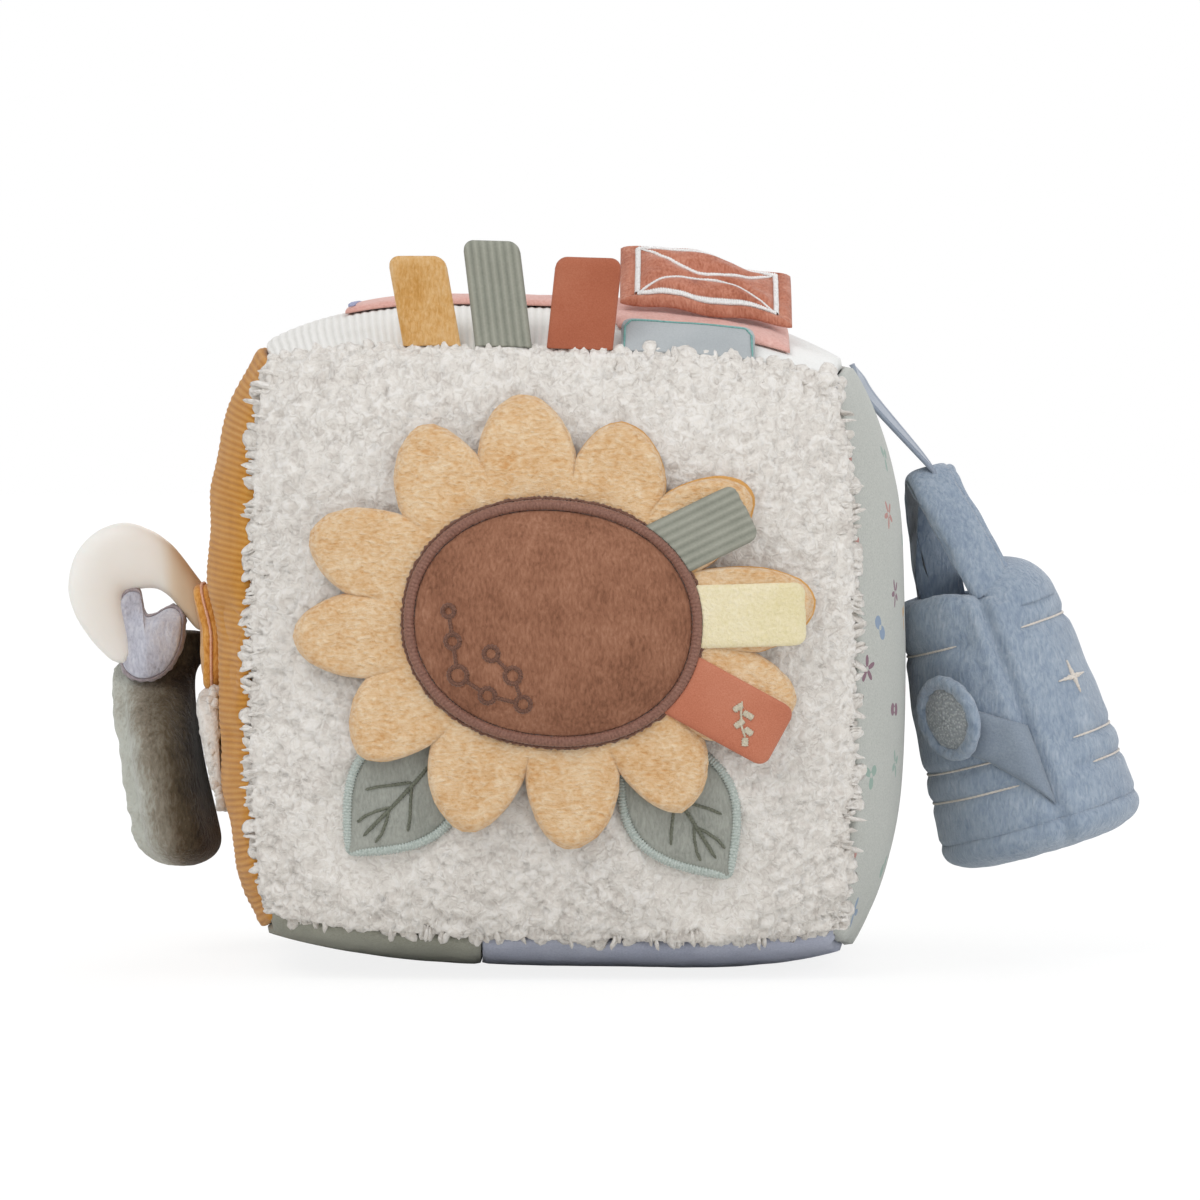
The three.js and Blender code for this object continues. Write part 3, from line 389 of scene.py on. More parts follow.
def sherpa(name, colours):
    material, tree, surface, place = shader(name, 1, 0.25, 0.1)
    bent = swirled(tree, place["Object"], 3, 3, place["Object"])
    clumps = grain(tree, bent, 1.9, 4, distortion=1.3)["Fac"]
    pattern = blended(tree, 0.2, clumps, grain(tree, place["Object"], 7)["Fac"])
    dress(tree, surface, tint(tree, pattern, 0.34, 0.6, colours), clumps, 0.5, 1.4)
    return material


def front_relief(a, b):
    spot = Vector((a * FACE_REACH[0], b * FACE_REACH[1] - FLOWER_ABOVE))
    flat = 0.75 * smooth(FLOWER_PRESS, FLOWER_PRESS - 14, spot.length)
    for root, tip in LEAF_LINES:
        run = tip - root
        nearest = root + run * min(max((spot - root).dot(run) / run.length_squared, 0), 1)
        flat = max(flat, 0.94 * smooth(LEAF_PRESS, LEAF_PRESS - 5, (spot - nearest).length))
    return (1 - flat) * (1 + curls((a * 80, b * 80, 0), SHERPA_CLUMP, SHERPA_HEIGHT))


# Ribbed faces: double gauze and corduroy are woven in lengthwise ribs that stand up from the cloth.
SIDE_RIBS = 90
TOP_RIBS = 46
# Creases beside the toy's holder: height and length as shares of the side, and depth
SIDE_CREASES = [(0.07, 0.07, 2.4), (-0.13, 0.09, 1.6), (-0.32, 0.06, 0.9)]


def ribbed(name, colours, count, axis, wander=0.25):
    """Cloth in ribs along one direction of its own cut, as many as counted."""
    material, tree, surface, place = shader(name, 0.95, 0.2, 0.15)
    across = add(tree, "SeparateXYZ", {"Vector": place["UV"]}).outputs[axis]
    drift = grain(tree, place["Object"], 7, 2)["Fac"]
    moved = maths(tree, "MULTIPLY_ADD", drift, wander, maths(tree, "MULTIPLY", across, 2 * count))
    fibres = grain(tree, place["Object"], 0.6, 3, 0.6)["Fac"]
    both = blended(tree, 0.45, maths(tree, "PINGPONG", moved, 1.0), fibres)
    colour = tint(tree, blended(tree, 0.3, both, drift), 0.2, 0.78, colours)
    dress(tree, surface, colour, both, 0.5, 0.4)
    return material


def ridge(share, ribs, height):
    return height * (sin(pi * ribs * share) ** 2 - 0.5)


def left_relief(a, b):
    sag = 0.8 * wobble(a * 2, b * 7, 5) * smooth(-0.1, -0.5, a)
    for height, length, deep in SIDE_CREASES:
        sag -= deep * bump_at(a, -0.8, 0.11) * bump_at(b, height, length)
    return ridge((b + 1) / 2 + 0.011 * wobble(a * 4, b * 11, 3), SIDE_RIBS, 0.17) + sag


def ribbed_top_relief(a, b):
    drift = 0.004 * wobble(a * 9, b * 3, 6)
    return ridge((a + 1) / (TOP_SPLIT + 1) + drift, TOP_RIBS, 0.2)


# Smooth faces: brushed cotton and jersey, whose weave is finer than half a millimetre.
def weave(name, colours, thread=0.5, sheen=0.1, relief=0.25, roughness=0.85):
    """Plain cloth: two sets of threads over and under each other, in slightly uneven colour."""
    material, tree, surface, place = shader(name, roughness, sheen, 0.2)
    fibres = grain(tree, place["Object"], thread, 3, 0.6)["Fac"]
    pattern = blended(tree, 0.5, fibres, grain(tree, place["Object"], 20)["Fac"])
    dress(tree, surface, tint(tree, pattern, 0.32, 0.68, colours), fibres, relief, thread)
    return material


# Printed jersey: a scattered print of small flowers, sprigs and berries on pale grey cotton knit.
# Each motif is a ring of lobes whose number, turn and dye are drawn by its own cell.
PRINT_PITCH = 0.135  # of the panel, about 21 mm from motif to motif
PRINT_COLOURS = ["#B5817A", "#C79A57", "#7D5568", "#8DA59A", "#A8594C", "#7F93AE"]
LOBE_REACH = (0.075, 0.115)
MOTIF_HEART = 0.035
PRINT_STRENGTH = 0.85


def jersey():
    material, tree, surface, place = shader("printed_jersey", 0.85, 0.1, 0.2)
    knit = grain(tree, place["Object"], 0.45, 3, 0.6)["Fac"]
    # The ground is a darker grey than the pale knit: painted shade for the right side, which faces away
    # from the key lamp.
    painted_shade_ground = tint(tree, knit, 0.3, 0.7, ["#ADAFAA", "#B9BBB5", "#C3C4BE"])
    flat = vectors(tree, "MULTIPLY", place["UV"], (1, 1, 0))
    spread = {"Vector": flat, "Scale": 1 / PRINT_PITCH, "Randomness": 0.7}
    cells = add(tree, "TexVoronoi", spread, voronoi_dimensions="2D").outputs
    here = vectors(tree, "SCALE", flat, Scale=1 / PRINT_PITCH)
    middle = vectors(tree, "SCALE", cells["Position"], Scale=1 / PRINT_PITCH)
    offset = vectors(tree, "SUBTRACT", here, middle)
    parts = add(tree, "SeparateXYZ", {"Vector": offset}).outputs
    chance = add(tree, "SeparateColor", {"Color": cells["Color"]}).outputs
    petals = maths(tree, "CEIL", maths(tree, "MULTIPLY", chance["Green"], 3.99))
    lobes = maths(tree, "ADD", petals, 1.0)
    turned = maths(tree, "MULTIPLY", maths(tree, "ARCTAN2", parts["Y"], parts["X"]), lobes)
    wave = maths(tree, "COSINE", maths(tree, "MULTIPLY_ADD", chance["Blue"], 2 * pi, turned))
    reach = maths(tree, "MULTIPLY_ADD", wave, *LOBE_REACH)
    distance = add(tree, "VectorMath", {0: offset}, operation="LENGTH").outputs["Value"]
    inside = maths(tree, "LESS_THAN", distance, reach)
    heart = maths(tree, "GREATER_THAN", distance, MOTIF_HEART)
    faded = maths(tree, "MULTIPLY", maths(tree, "MULTIPLY", inside, heart), PRINT_STRENGTH)
    dyes = tint(tree, chance["Red"], 0, 1 - 1 / len(PRINT_COLOURS), PRINT_COLOURS)
    dyes.node.color_ramp.interpolation = "CONSTANT"
    printed = add(tree, "Mix", {0: faded, 6: painted_shade_ground, 7: dyes}, data_type="RGBA").outputs[2]
    dress(tree, surface, printed, knit, 0.25, 0.4)
    return material


def jersey_folds(a, b):
    """Soft diagonal drags where the knit is pulled by the strap above and the fill below."""
    drag = bump_at(a + 0.55 * b, -0.35, 0.09) * smooth(0.2, 0.7, -b)
    return -0.9 * drag + 0.5 * wobble(a * 2.5, b * 2.5, 9)


curly_pile = sherpa("sherpa_fleece", ["#CBC4BD", "#D8D2CB", "#E1DCD5", "#E8E4DF"])
ochre_cord = ribbed("ochre_rib_cotton", ["#A46C28", "#B87D32", "#C48B3F", "#CC984E"], SIDE_RIBS, "Y")
white_rib = ribbed("white_rib_cotton", ["#D4D2CC", "#E3E1DC", "#ECEAE6"], TOP_RIBS, "X")
white_cotton = weave("white_brushed_cotton", ["#DADAD6", "#E9E9E6", "#F1F1EF"])
sage_cotton = weave("sage_cotton", ["#85867A", "#9A9A8E", "#A8A89C"])
lavender_cotton = weave("lavender_cotton", ["#9399AB", "#A9ADBD", "#B9BDCB"])
cream_cotton = weave("cream_cotton", ["#D6D0C6", "#E3DED5", "#EDE9E2"])
panel("sherpa_face", "front", curly_pile, "curly_pile", "front_panel", (200, 200), 0, front_relief)
panel("ochre_side", "left", ochre_cord, "ochre_cord", "left_panel", (36, 520), 20, left_relief)
ribbed_span, plain_span = (-1, TOP_SPLIT), (TOP_SPLIT, 1)
panel(
    "ribbed_top", "top", white_rib, "white_rib", "top_panel_ribbed",
    (276, 60), 40, ribbed_top_relief, ribbed_span,
)
panel("jersey_side", "right", jersey(), "printed_jersey", "right_panel", (100, 100), 60, jersey_folds)
panel("plain_top", "top", white_cotton, "white_cloth", "top_panel_plain", (40, 70), 80, None, plain_span)
sage_span, lavender_span = (-1, BOTTOM_SPLIT), (BOTTOM_SPLIT, 1)
panel(
    "sage_base", "bottom", sage_cotton, "sage_cloth", "bottom_panel_sage",
    (40, 70), 100, None, sage_span,
)
panel(
    "lavender_base", "bottom", lavender_cotton, "lavender_cloth", "bottom_panel_lavender",
    (56, 70), 120, None, lavender_span,
)
panel("cotton_back", "back", cream_cotton, "cream_cloth", "back_panel", (80, 80), 140)

# Leaves
# Two leaves of grey-sage plush under the petals, their edges bound in satin stitch and their veins
# embroidered in darker thread. They are sewn down at the flower and free at their points.
LAY_GAP = 0.45
FLOWER_X = 0.5
FLOWER_Z = 86
LEAF_THICK = 1.8
LEAF_START = 34
LEAF_LENGTH = 40
LEAF_HALF_WIDTH = 13.5
LEAF_RIM = 2.2
LEAF_PLACES = {"left": -131.5, "right": -55.5}
MIDRIB_SHARES = (0.2, 0.4, 0.6, 0.8, 0.86)
VEIN_SHARES = [(0.42, 0.66, 0.62), (0.42, 0.64, -0.6), (0.62, 0.84, 0.5), (0.62, 0.82, -0.5)]
THREAD_PITCH = 0.75


def on_front(x, z, lift):
    """The point of the front face above (x, z), raised by the given lift."""
    u, w = x / SEAM_HALF, (z - CENTRE_HEIGHT) / SEAM_HALF
    for _ in range(SOLVE_PASSES):
        u = x / half_size(SIDE_BULGE, 1, w)
        w = (z + LEAN_SHARE * x - CENTRE_HEIGHT) / half_size(TOP_BULGE, u, 1)
    return Vector((x, -half_size(FACE_BULGE, u, w) - lift, z))


def on_flower(x, z, lift):
    return on_front(FLOWER_X + x, FLOWER_Z + z, lift)


def thread_line(mesh, surface, path, width, height, lift=0.0, pitch=THREAD_PITCH, taper=True):
    """A raised line of satin stitch along a path on a surface: its threads cross it side by side."""
    spots = [Vector(spot) for spot in path]
    legs = [(b - a).length for a, b in zip(spots, spots[1:])]
    length = sum(legs)
    rows = max(int(length / pitch * 4), 6)

    def spot_at(share):
        rest = min(max(share, 0), 1) * length
        for start, end, leg in zip(spots, spots[1:], legs):
            if rest <= leg:
                return start.lerp(end, rest / leg)
            rest -= leg
        return spots[-1].copy()

    line = bmesh.ops.create_grid(mesh, x_segments=8, y_segments=rows, size=1)["verts"]
    for point in line:
        share = (point.co.y + 1) / 2
        turn = pi * point.co.x
        ahead = spot_at(share + 0.02) - spot_at(share - 0.02)
        side = Vector((-ahead.y, ahead.x)).normalized()
        end = sqrt(max(1 - abs(2 * share - 1) ** 12, 0)) if taper else 1
        full = end * (1 + 0.16 * sin(2 * pi * share * length / pitch))
        spot = spot_at(share) + side * cos(turn) * width / 2 * full
        point.co = surface(spot.x, spot.y, lift + height * sin(turn) * full)
    bmesh.ops.remove_doubles(mesh, verts=line, dist=0.01)


def thread(name, colours):
    """Rayon embroidery thread: fine glossy filaments that lie side by side."""
    material, tree, surface, place = shader(name, 0.55, 0.25, 0.4)
    fibres = grain(tree, place["Object"], 0.5, 3, 0.7)["Fac"]
    dress(tree, surface, tint(tree, fibres, 0.3, 0.7, colours), fibres, 0.3, 0.3)
    return material


def stitched(name, mesh, *rest, **more):
    """The piece made of lines of thread."""
    bmesh.ops.recalc_face_normals(mesh, faces=mesh.faces[:])
    return made(name, mesh, *rest, **more)


def leaf_spot(angle, along, across):
    """A place on a leaf: along from its root to its point, across from one edge to the other."""
    half_width = LEAF_HALF_WIDTH * max(sin(pi * along**0.92), 0) ** mix(0.7, 1.05, along)
    spot = Vector((LEAF_START + along * LEAF_LENGTH, across * half_width))
    return Matrix.Rotation(radians(angle), 2) @ spot


def leaf_surface(x, z, lift):
    return on_flower(x, z, LAY_GAP + lift)


leaf_plush = plush("grey_sage_plush", ["#868981", "#9A9C94", "#AAACA4"], pile=0.6, sheen=0.3)
leaf_thread = thread("pale_sage_thread", ["#9AA69E", "#B3BCB6", "#CBD2CD"])
vein_thread = thread("dark_sage_thread", ["#4E5145", "#66695A", "#787B6C"])
for side_name, leaf_angle in LEAF_PLACES.items():

    def leaf_place(a, b, side):
        along = 0.02 + 0.96 * (1 - cos(pi * (a + 1) / 2)) / 2
        x, z = leaf_spot(leaf_angle, along, b * 0.9)
        puff = (1 - abs(b) ** 4) * 0.5 + 0.25 * wobble(x / 7, z / 7, 2)
        return leaf_surface(x, z, LEAF_THICK - 0.5 + puff if side > 0 else 0)

    cloth = slab(60, 26, leaf_place)
    made(f"leaf_cloth_{side_name}", cloth, leaf_plush, "leaf_plush", [f"leaf_{side_name}"], fill=0.2)
    rim = bmesh.new()
    for edge in (1, -1):
        steps = [(1 - cos(pi * step / 40)) / 2 for step in range(41)]
        outline = [leaf_spot(leaf_angle, step, edge * 0.96) for step in steps]
        thread_line(rim, leaf_surface, outline, LEAF_RIM, 1.1, lift=1.1)
    stitched(f"leaf_edge_{side_name}", rim, leaf_thread, "leaf_thread", [f"leaf_rim_{side_name}"])
    veins = bmesh.new()
    midrib = [leaf_spot(leaf_angle, share, 0.05 * sin(4 * share)) for share in MIDRIB_SHARES]
    thread_line(veins, leaf_surface, midrib, 1.0, 0.55, lift=LEAF_THICK)
    for start, end, across in VEIN_SHARES:
        shares = (0, 0.35, 0.7, 1)
        branch = [leaf_spot(leaf_angle, mix(start, end, s), across * s**1.1) for s in shares]
        thread_line(veins, leaf_surface, branch, 0.8, 0.5, lift=LEAF_THICK - 0.05)
    stitched(f"leaf_veins_{side_name}", veins, vein_thread, "leaf_thread")

# Petals
# One scalloped ring of twelve petals, cut double in peach plush and turned, so that its backing
# shows as a darker line round the curled ones. It is sewn down under the border of the centre.
LINING_LIFT = LAY_GAP + LEAF_THICK + LAY_GAP
LINING_THICK = 1
PETAL_LIFT = LINING_LIFT + LINING_THICK + LAY_GAP
PETAL_THICK = 1.4
PETAL_REACH = 62
PETAL_ROOT = 24
PETAL_CURL = 1.6
PETAL_ROUND_POWER = 1.9
PETAL_FALL_POWER = 0.95
PETAL_STEPS = 26
PETAL_PUFF = 1.3
PETAL_RAGGED = 0.35
# Tip angle in degrees, tip share of the reach, angle and share of the notch after it, forward curl
PETAL_SHARES = [
    (98.6, 0.88, 82, 0.64, 0.2),
    (69.7, 0.81, 48.9, 0.65, 0.9),
    (33.7, 0.9, 19.6, 0.6, 1.4),
    (4.8, 1, -8.5, 0.78, 1.2),
    (-18.9, 0.98, -37.7, 0.73, 0.2),
    (-54.6, 0.88, -66.2, 0.63, 0),
    (-85.4, 0.87, -100.3, 0.6, 0.3),
    (-113.5, 0.87, -135, 0.66, 0),
    (-146.3, 0.9, -163.4, 0.75, 0.3),
    (-176.8, 1, -188, 0.8, 0.1),
    (-200.4, 0.99, -215.5, 0.71, 0.5),
    (-235.2, 0.91, -245.7, 0.7, 0.3),
]
PETAL_COUNT = len(PETAL_SHARES)


def petal_edge(place):
    """The outline of the ring; place counts petals, so 2.5 is the tip of the third."""
    index = int(place) % PETAL_COUNT
    across = -cos(pi * (place % 1))
    tip, tip_share, notch, notch_share, bend = PETAL_SHARES[index]
    before = PETAL_SHARES[index - 1]
    start = before[2] + 360 if index == 0 else before[2]
    degrees = mix(tip, start, -across) if across < 0 else mix(tip, notch, across)
    base = before[3] if across < 0 else notch_share
    swell = max(1 - abs(across) ** PETAL_ROUND_POWER, 0) ** PETAL_FALL_POWER
    return radians(degrees), PETAL_REACH * mix(base, tip_share, swell), across, bend


def petal_curl(radius):
    """How far the ring stands forward at a distance from its middle."""
    return PETAL_CURL * (max(radius - PETAL_ROOT, 0) / (PETAL_REACH - PETAL_ROOT)) ** 2


def petal_point(a, b, lift, thick, grow, puff):
    """A point of the ring's skin: a runs round the flower, b round the section of the cloth."""
    angle, reach, across, bend = petal_edge((a + 1) / 2 * PETAL_COUNT % PETAL_COUNT)
    reach += grow + (bend if grow < 0 else 0)
    share = sin(pi / 2 * (1 - abs(b))) ** 0.8
    radius = mix(PETAL_ROOT, reach, share)
    curl = petal_curl(radius) + bend * smooth(0.55, 1, share) * (1.2 if across < 0.2 else 0.7)
    x, z = polar(radius, angle)
    lift += curl + 0.35 * wobble(x / 9, z / 9, 4) * smooth(0.2, 0.7, share)
    ragged = PETAL_RAGGED * wobble(x / 1.1, z / 1.1, 8) * smooth(0.8, 1, share)
    x, z = polar(radius + ragged, angle)
    if b < 0:
        return on_flower(x, z, lift)
    to_rim = (reach - radius) * 0.8
    rounded = sqrt(max(1 - (1 - min(to_rim / 2.2, 1)) ** 2, 0.12))
    valley = 1 - abs(across) ** 3 * smooth(0.5, 0.95, share)
    return on_flower(x, z, lift + (thick + puff * valley * smooth(0.0, 0.45, share)) * rounded)


petal_plush = plush(
    "peach_plush",
    ["#D09C65", "#DCB486", "#E4C59E", "#ECD5B6"],
    pile=0.85,
    patch=8,
    nap=(0.5, 1, 1),
    relief=1,
    patchy=0.3,
)
ochre_backing = weave("ochre_backing", ["#C38A47", "#D29C58", "#DDAC6A"], sheen=0.3, relief=0.5)
columns = PETAL_COUNT * PETAL_STEPS
petal_build = (PETAL_LIFT, PETAL_THICK, 0, PETAL_PUFF)
backing_build = (LINING_LIFT, LINING_THICK, -0.7, 0)
ring = wrapped(columns, 44, lambda a, b: petal_point(a, b, *petal_build))
made("petal_cloth", ring, petal_plush, "petal_plush", ["petal_ring"], fill=0.3)
backing = wrapped(columns, 24, lambda a, b: petal_point(a, b, *backing_build))
made("petal_backing", backing, ochre_backing, "petal_lining", ["petal_lining"], fill=0.1)

# Flower centre
# An egg-shaped pad of brown plush, lightly filled, bound to the petals by a wide satin-stitch
# border. Small rings of thread stand for seeds, all worked in one chain.
PAD_LIFT = PETAL_LIFT + PETAL_THICK + LAY_GAP
PAD_WIDTH = 65.5
PAD_HEIGHT = 53
PAD_TURN = radians(-5)
PAD_POWER = 2.15
PAD_EDGE = 2
PAD_CROWN = 5.5
BORDER_WIDTH = 2.6
BORDER_HEIGHT = 1.5
SEED_SPOTS = [
    (-24.6, 3), (-23.6, -4.1), (-22.4, -12.2), (-15.4, -17),
    (-7, -19), (-9.4, -12.2), (-14.5, -7),
]
SEED_RADII = [1.4, 1.7, 2.2, 1.8, 1.8, 1.9, 1.7]


def oval_reach(angle, half_width, half_height, power):
    """The distance from the middle of an oblong with rounded corners to its edge."""
    wide, tall = abs(cos(angle) / half_width) ** power, abs(sin(angle) / half_height) ** power
    return (wide + tall) ** (-1 / power)


def pad_edge(angle):
    return oval_reach(angle - PAD_TURN, PAD_WIDTH / 2, PAD_HEIGHT / 2, PAD_POWER)


def pad_lift(x, z):
    share = min(hypot(x, z) / pad_edge(atan2(z, x)), 1)
    dents = 0.35 * wobble(x / 13, z / 13, 7) * (1 - share**4)
    return PAD_LIFT + PAD_EDGE + PAD_CROWN * (1 - share**3) + dents


def pad_point(a, b):
    angle, share = pi * a, 1 - abs(b) ** 1.4
    x, z = polar(pad_edge(angle) * share, angle)
    if b < 0:
        return on_flower(x, z, PAD_LIFT)
    crease = 0.28 * wobble(*polar(14, angle), 1) * share**8
    return on_flower(x, z, pad_lift(x, z) + crease)


def pad_surface(x, z, lift):
    return on_flower(x, z, pad_lift(x, z) + lift)


def border_point(a, b, inner, width, height, pitch, wander):
    angle, turn = pi * a, pi * b
    threads = sin(angle * round(pi * (PAD_WIDTH + PAD_HEIGHT) / 2 / pitch))
    radius = pad_edge(angle) + inner + width / 2 * (1 + cos(turn) * (1 + 0.05 * threads))
    radius += wander * wobble(*polar(40, angle), turn)
    return on_flower(*polar(radius, angle), PAD_LIFT + height * (1 + sin(turn) * (1 + 0.1 * threads)))


brown_colours = ["#6F4936", "#875B45", "#996B53", "#A97B63"]
brown_plush = plush("brown_plush", brown_colours, patch=16, nap=(1, 1, 0.4))
border_thread = thread("mauve_brown_thread", ["#6E483A", "#835B4C", "#976D5D"])
seed_thread = thread("dark_brown_thread", ["#563528", "#6A4534", "#7B5441"])
pad = wrapped(160, 60, pad_point)
made("brown_centre", pad, brown_plush, "brown_plush", ["flower_centre"], fill=0.4)
border_build = (0.05, BORDER_WIDTH, BORDER_HEIGHT, 0.85, 0.12)
border = wrapped(900, 12, lambda a, b: border_point(a, b, *border_build))
made("centre_border", border, border_thread, "brown_thread", ["flower_border"])
fringe = wrapped(700, 8, lambda a, b: border_point(a, b, 2.3, 1.0, 0.8, 0.6, 0.6))
made("centre_border_pile", fringe, seed_thread, "brown_thread")
seeds = bmesh.new()
for spot, radius in zip(SEED_SPOTS, SEED_RADII):
    circle = [Vector(spot) + polar(radius, 2 * pi * step / 18) for step in range(19)]
    thread_line(seeds, pad_surface, circle, 1.05, 0.55, taper=False)
for start in range(len(SEED_SPOTS) - 1):
    first, last = Vector(SEED_SPOTS[start]), Vector(SEED_SPOTS[start + 1])
    way = (last - first).normalized()
    stitch = [first + way * SEED_RADII[start], last - way * SEED_RADII[start + 1]]
    thread_line(seeds, pad_surface, stitch, 0.9, 0.45)
stitched("seed_stitches", seeds, seed_thread, "brown_thread")

# Side tabs of the flower
# Three loops of ribbon and cloth caught in the border's right edge: a ribbed one, a soft lemon one
# and a satin one with a small woven sprig. Each is folded double, so its end is round and full.
TAB_THICK = 2
TAB_CORNER = 2.8
TAB_RIBS = 7
# Place round the flower and direction in degrees, length and width
SAGE_TAB = (33.3, 26, 20, 14.4)
LEMON_TAB = (2.5, 1.5, 24.5, 15)
RUST_TAB = (-25.6, -28.8, 25.5, 15.7)
SPRIG_LIFT = TAB_THICK + 0.12
SPRIG_STEM = [(3.6, 0.5), (1, 1.6), (-1.6, 3.2), (-3.6, 5.4)]
# Share of the stem, length, and turn from the stem in radians
SPRIG_LEAVES = [(0.1, 2.6, 1.1), (0.3, 2.8, -0.9), (0.52, 2.7, 1.0), (0.75, 2.4, -0.8), (1, 2.2, 0.1)]


def corner_drop(a, half_width):
    """How far the end of a tab has drawn back at its rounded corners."""
    inside = half_width * (1 - abs(a))
    return TAB_CORNER - sqrt(max(TAB_CORNER**2 - max(TAB_CORNER - inside, 0) ** 2, 0))


def side_tab_point(tab, a, b, lift):
    place, aim, length, width = tab
    way, turn = polar(1, radians(aim)), radians(place)
    start = polar(pad_edge(turn), turn) + Vector((-way.y, way.x)) * a * width / 2
    end = start + way * (BORDER_WIDTH + length - corner_drop(a, width / 2))
    for _ in range(SOLVE_PASSES):
        start += way * (pad_edge(atan2(start.y, start.x)) + BORDER_WIDTH - start.length)
    spot = start.lerp(end, (b + 1) / 2)
    lift += PAD_LIFT + petal_curl(spot.length) + 0.8 * smooth(-1, 1, b)
    return on_flower(*spot, lift)


def folded_loop(name, point_at, thick, rows, ribs, rough, swell, *rest, **more):
    """A loop of cloth folded double; point_at(a, b, lift) is a point above its middle layer."""

    def place(a, b, side):
        rib = 0.3 * abs(sin(pi * ribs * (a + 1) / 2))
        full = thick / 2 * (1 + swell * smooth(0.2, 0.9, b)) + rib + rough * wobble(a * 9, b * 14, 3)
        return point_at(a, b, side * full * filled(a, max(b, 0), 10, 0.06))

    return made(name, slab(64, rows, place), *rest, **more)


def sprig_surface(x, y, lift):
    a, b = x / (RUST_TAB[3] / 2), y / (RUST_TAB[2] / 2)
    return side_tab_point(RUST_TAB, a, b, SPRIG_LIFT + lift)


sage_ribbon = ribbed("sage_rib_ribbon", ["#7C7E73", "#929387", "#A2A296"], TAB_RIBS, "X", wander=0.02)
lemon_terry = plush("lemon_terry", ["#E1D4A4", "#EADEB9", "#F1E7CB"], nap=(1, 1, 1), relief=0.7)
satin = {"thread": 0.3, "sheen": 0.3, "roughness": 0.5}
rust_satin = weave("rust_satin", ["#A96046", "#B97156", "#C48167"], **satin)
beige_thread = thread("beige_thread", ["#A79D88", "#BEB49E", "#CFC6B2"])
for name, tab, ribs, rough, cloth, slot, node, body in [
    ("ribbed", SAGE_TAB, TAB_RIBS, 0, sage_ribbon, "sage_ribbon", "flower_tab_sage", "sage_side_tab"),
    ("lemon", LEMON_TAB, 0, 0.15, lemon_terry, "lemon_plush", "flower_tab_lemon", "lemon_side_tab"),
    ("satin", RUST_TAB, 0, 0, rust_satin, "rust_satin", "flower_tab_rust", "rust_side_tab"),
]:
    middle = lambda a, b, lift: side_tab_point(tab, a, b, TAB_THICK / 2 + lift)
    build = (middle, TAB_THICK, 60, ribs, rough, 0)
    folded_loop(f"{name}_side_loop", *build, cloth, slot, [node], body, fill=0.2)
sprig = bmesh.new()
thread_line(sprig, sprig_surface, SPRIG_STEM, 0.55, 0.16)
for share, reach, turn in SPRIG_LEAVES:
    root = Vector(SPRIG_STEM[0]).lerp(Vector(SPRIG_STEM[-1]), share)
    way = Matrix.Rotation(turn, 2) @ Vector((-0.82, 0.57))
    thread_line(sprig, sprig_surface, [root, root + way * reach], 1.5, 0.2, pitch=0.6)
stitched("satin_side_sprig", sprig, beige_thread, "rust_satin", body="rust_side_tab")

# Tabs and label in the top seam
# Three folded loops of plush, ribbed ribbon and satin, and a bare woven label, stand in the seam
# between the sherpa face and the top. They bend at the seam when a baby pulls or chews them.
PIVOT_GAP = 0.9
LABEL_THICK = 0.8
# Place along the seam as a share, width, height, sideways and backward lean in degrees
YELLOW_TAB = (-0.428, 13.8, 21.5, -10, 0)
RIBBED_TAB = (-0.173, 13.6, 25.5, -7, 6)
SATIN_TAB = (0.098, 15.8, 22, 6, 0)
LABEL = (0.485, 32, 12, 0, 50)
LABEL_LINE = [
    (-0.96, -0.9), (-0.95, 0.6), (-0.86, 0.84), (0, 0.88),
    (0.86, 0.84), (0.95, 0.6), (0.96, -0.9),
]


def seam_tab_point(tab, a, b, lift):
    place, width, height, lean, tilt = tab
    half_share = width / 2 / SEAM_HALF
    along = (skin(place + half_share, -1, 1) - skin(place - half_share, -1, 1)).normalized()
    up = Vector((0, sin(radians(tilt)), cos(radians(tilt))))
    rise = (height - corner_drop(a, width / 2)) * (b + 1) / 2
    spot = skin(place + a * half_share, -1, 1) + Vector((0, 0, PIVOT_GAP))
    spot += up * rise + along * tan(radians(lean)) * rise
    return spot + along.cross(up) * (lift + 0.5 * wobble(place * 30, a * 1.3, b * 1.5) * (b + 1) / 2)


def label_surface(x, y, lift):
    a, b = x / (LABEL[1] / 2), y / (LABEL[2] / 2)
    return seam_tab_point(LABEL, a, b, LABEL_THICK / 2 + 0.05 + lift)


yellow_colours = ["#BD8A47", "#CA9A5C", "#D4AA73", "#DCBA8D"]
yellow_plush = plush("yellow_plush", yellow_colours, pile=0.6, patch=7, relief=0.6)
satin_top = weave("terracotta_satin", ["#975037", "#A75E43", "#B26D52"], **satin)
label_colours = ["#A0A5A8", "#ADB2B4", "#B9BCBE"]
label_satin = weave("label_satin", label_colours, thread=0.3, sheen=0.2, roughness=0.5)
teal_thread = thread("teal_thread", ["#5C8C88", "#6FA39C", "#86B5AF"])
for name, tab, ribs, rough, cloth, slot, node, body in [
    ("yellow", YELLOW_TAB, 0, 0.15, yellow_plush, "yellow_plush", "seam_tab_yellow", "yellow_tab"),
    ("ribbed", RIBBED_TAB, TAB_RIBS, 0, sage_ribbon, "sage_ribbon", "seam_tab_ribbed", "ribbed_tab"),
    ("satin", SATIN_TAB, 0, 0, satin_top, "rust_satin", "seam_tab_satin", "satin_tab"),
]:
    middle = lambda a, b, lift: seam_tab_point(tab, a, b, lift)
    build = (middle, TAB_THICK, 64, ribs, rough, 0.25)
    folded_loop(f"{name}_loop", *build, cloth, slot, [node], body, fill=0.2)
build = (lambda a, b, lift: seam_tab_point(LABEL, a, b, lift), LABEL_THICK, 64, 0, 0, 0)
label = folded_loop("blank_label", *build, label_satin, "label_weave", ["seam_label"], "label")
label_line = bmesh.new()
line_spots = [(x * LABEL[1] / 2, y * LABEL[2] / 2) for x, y in LABEL_LINE]
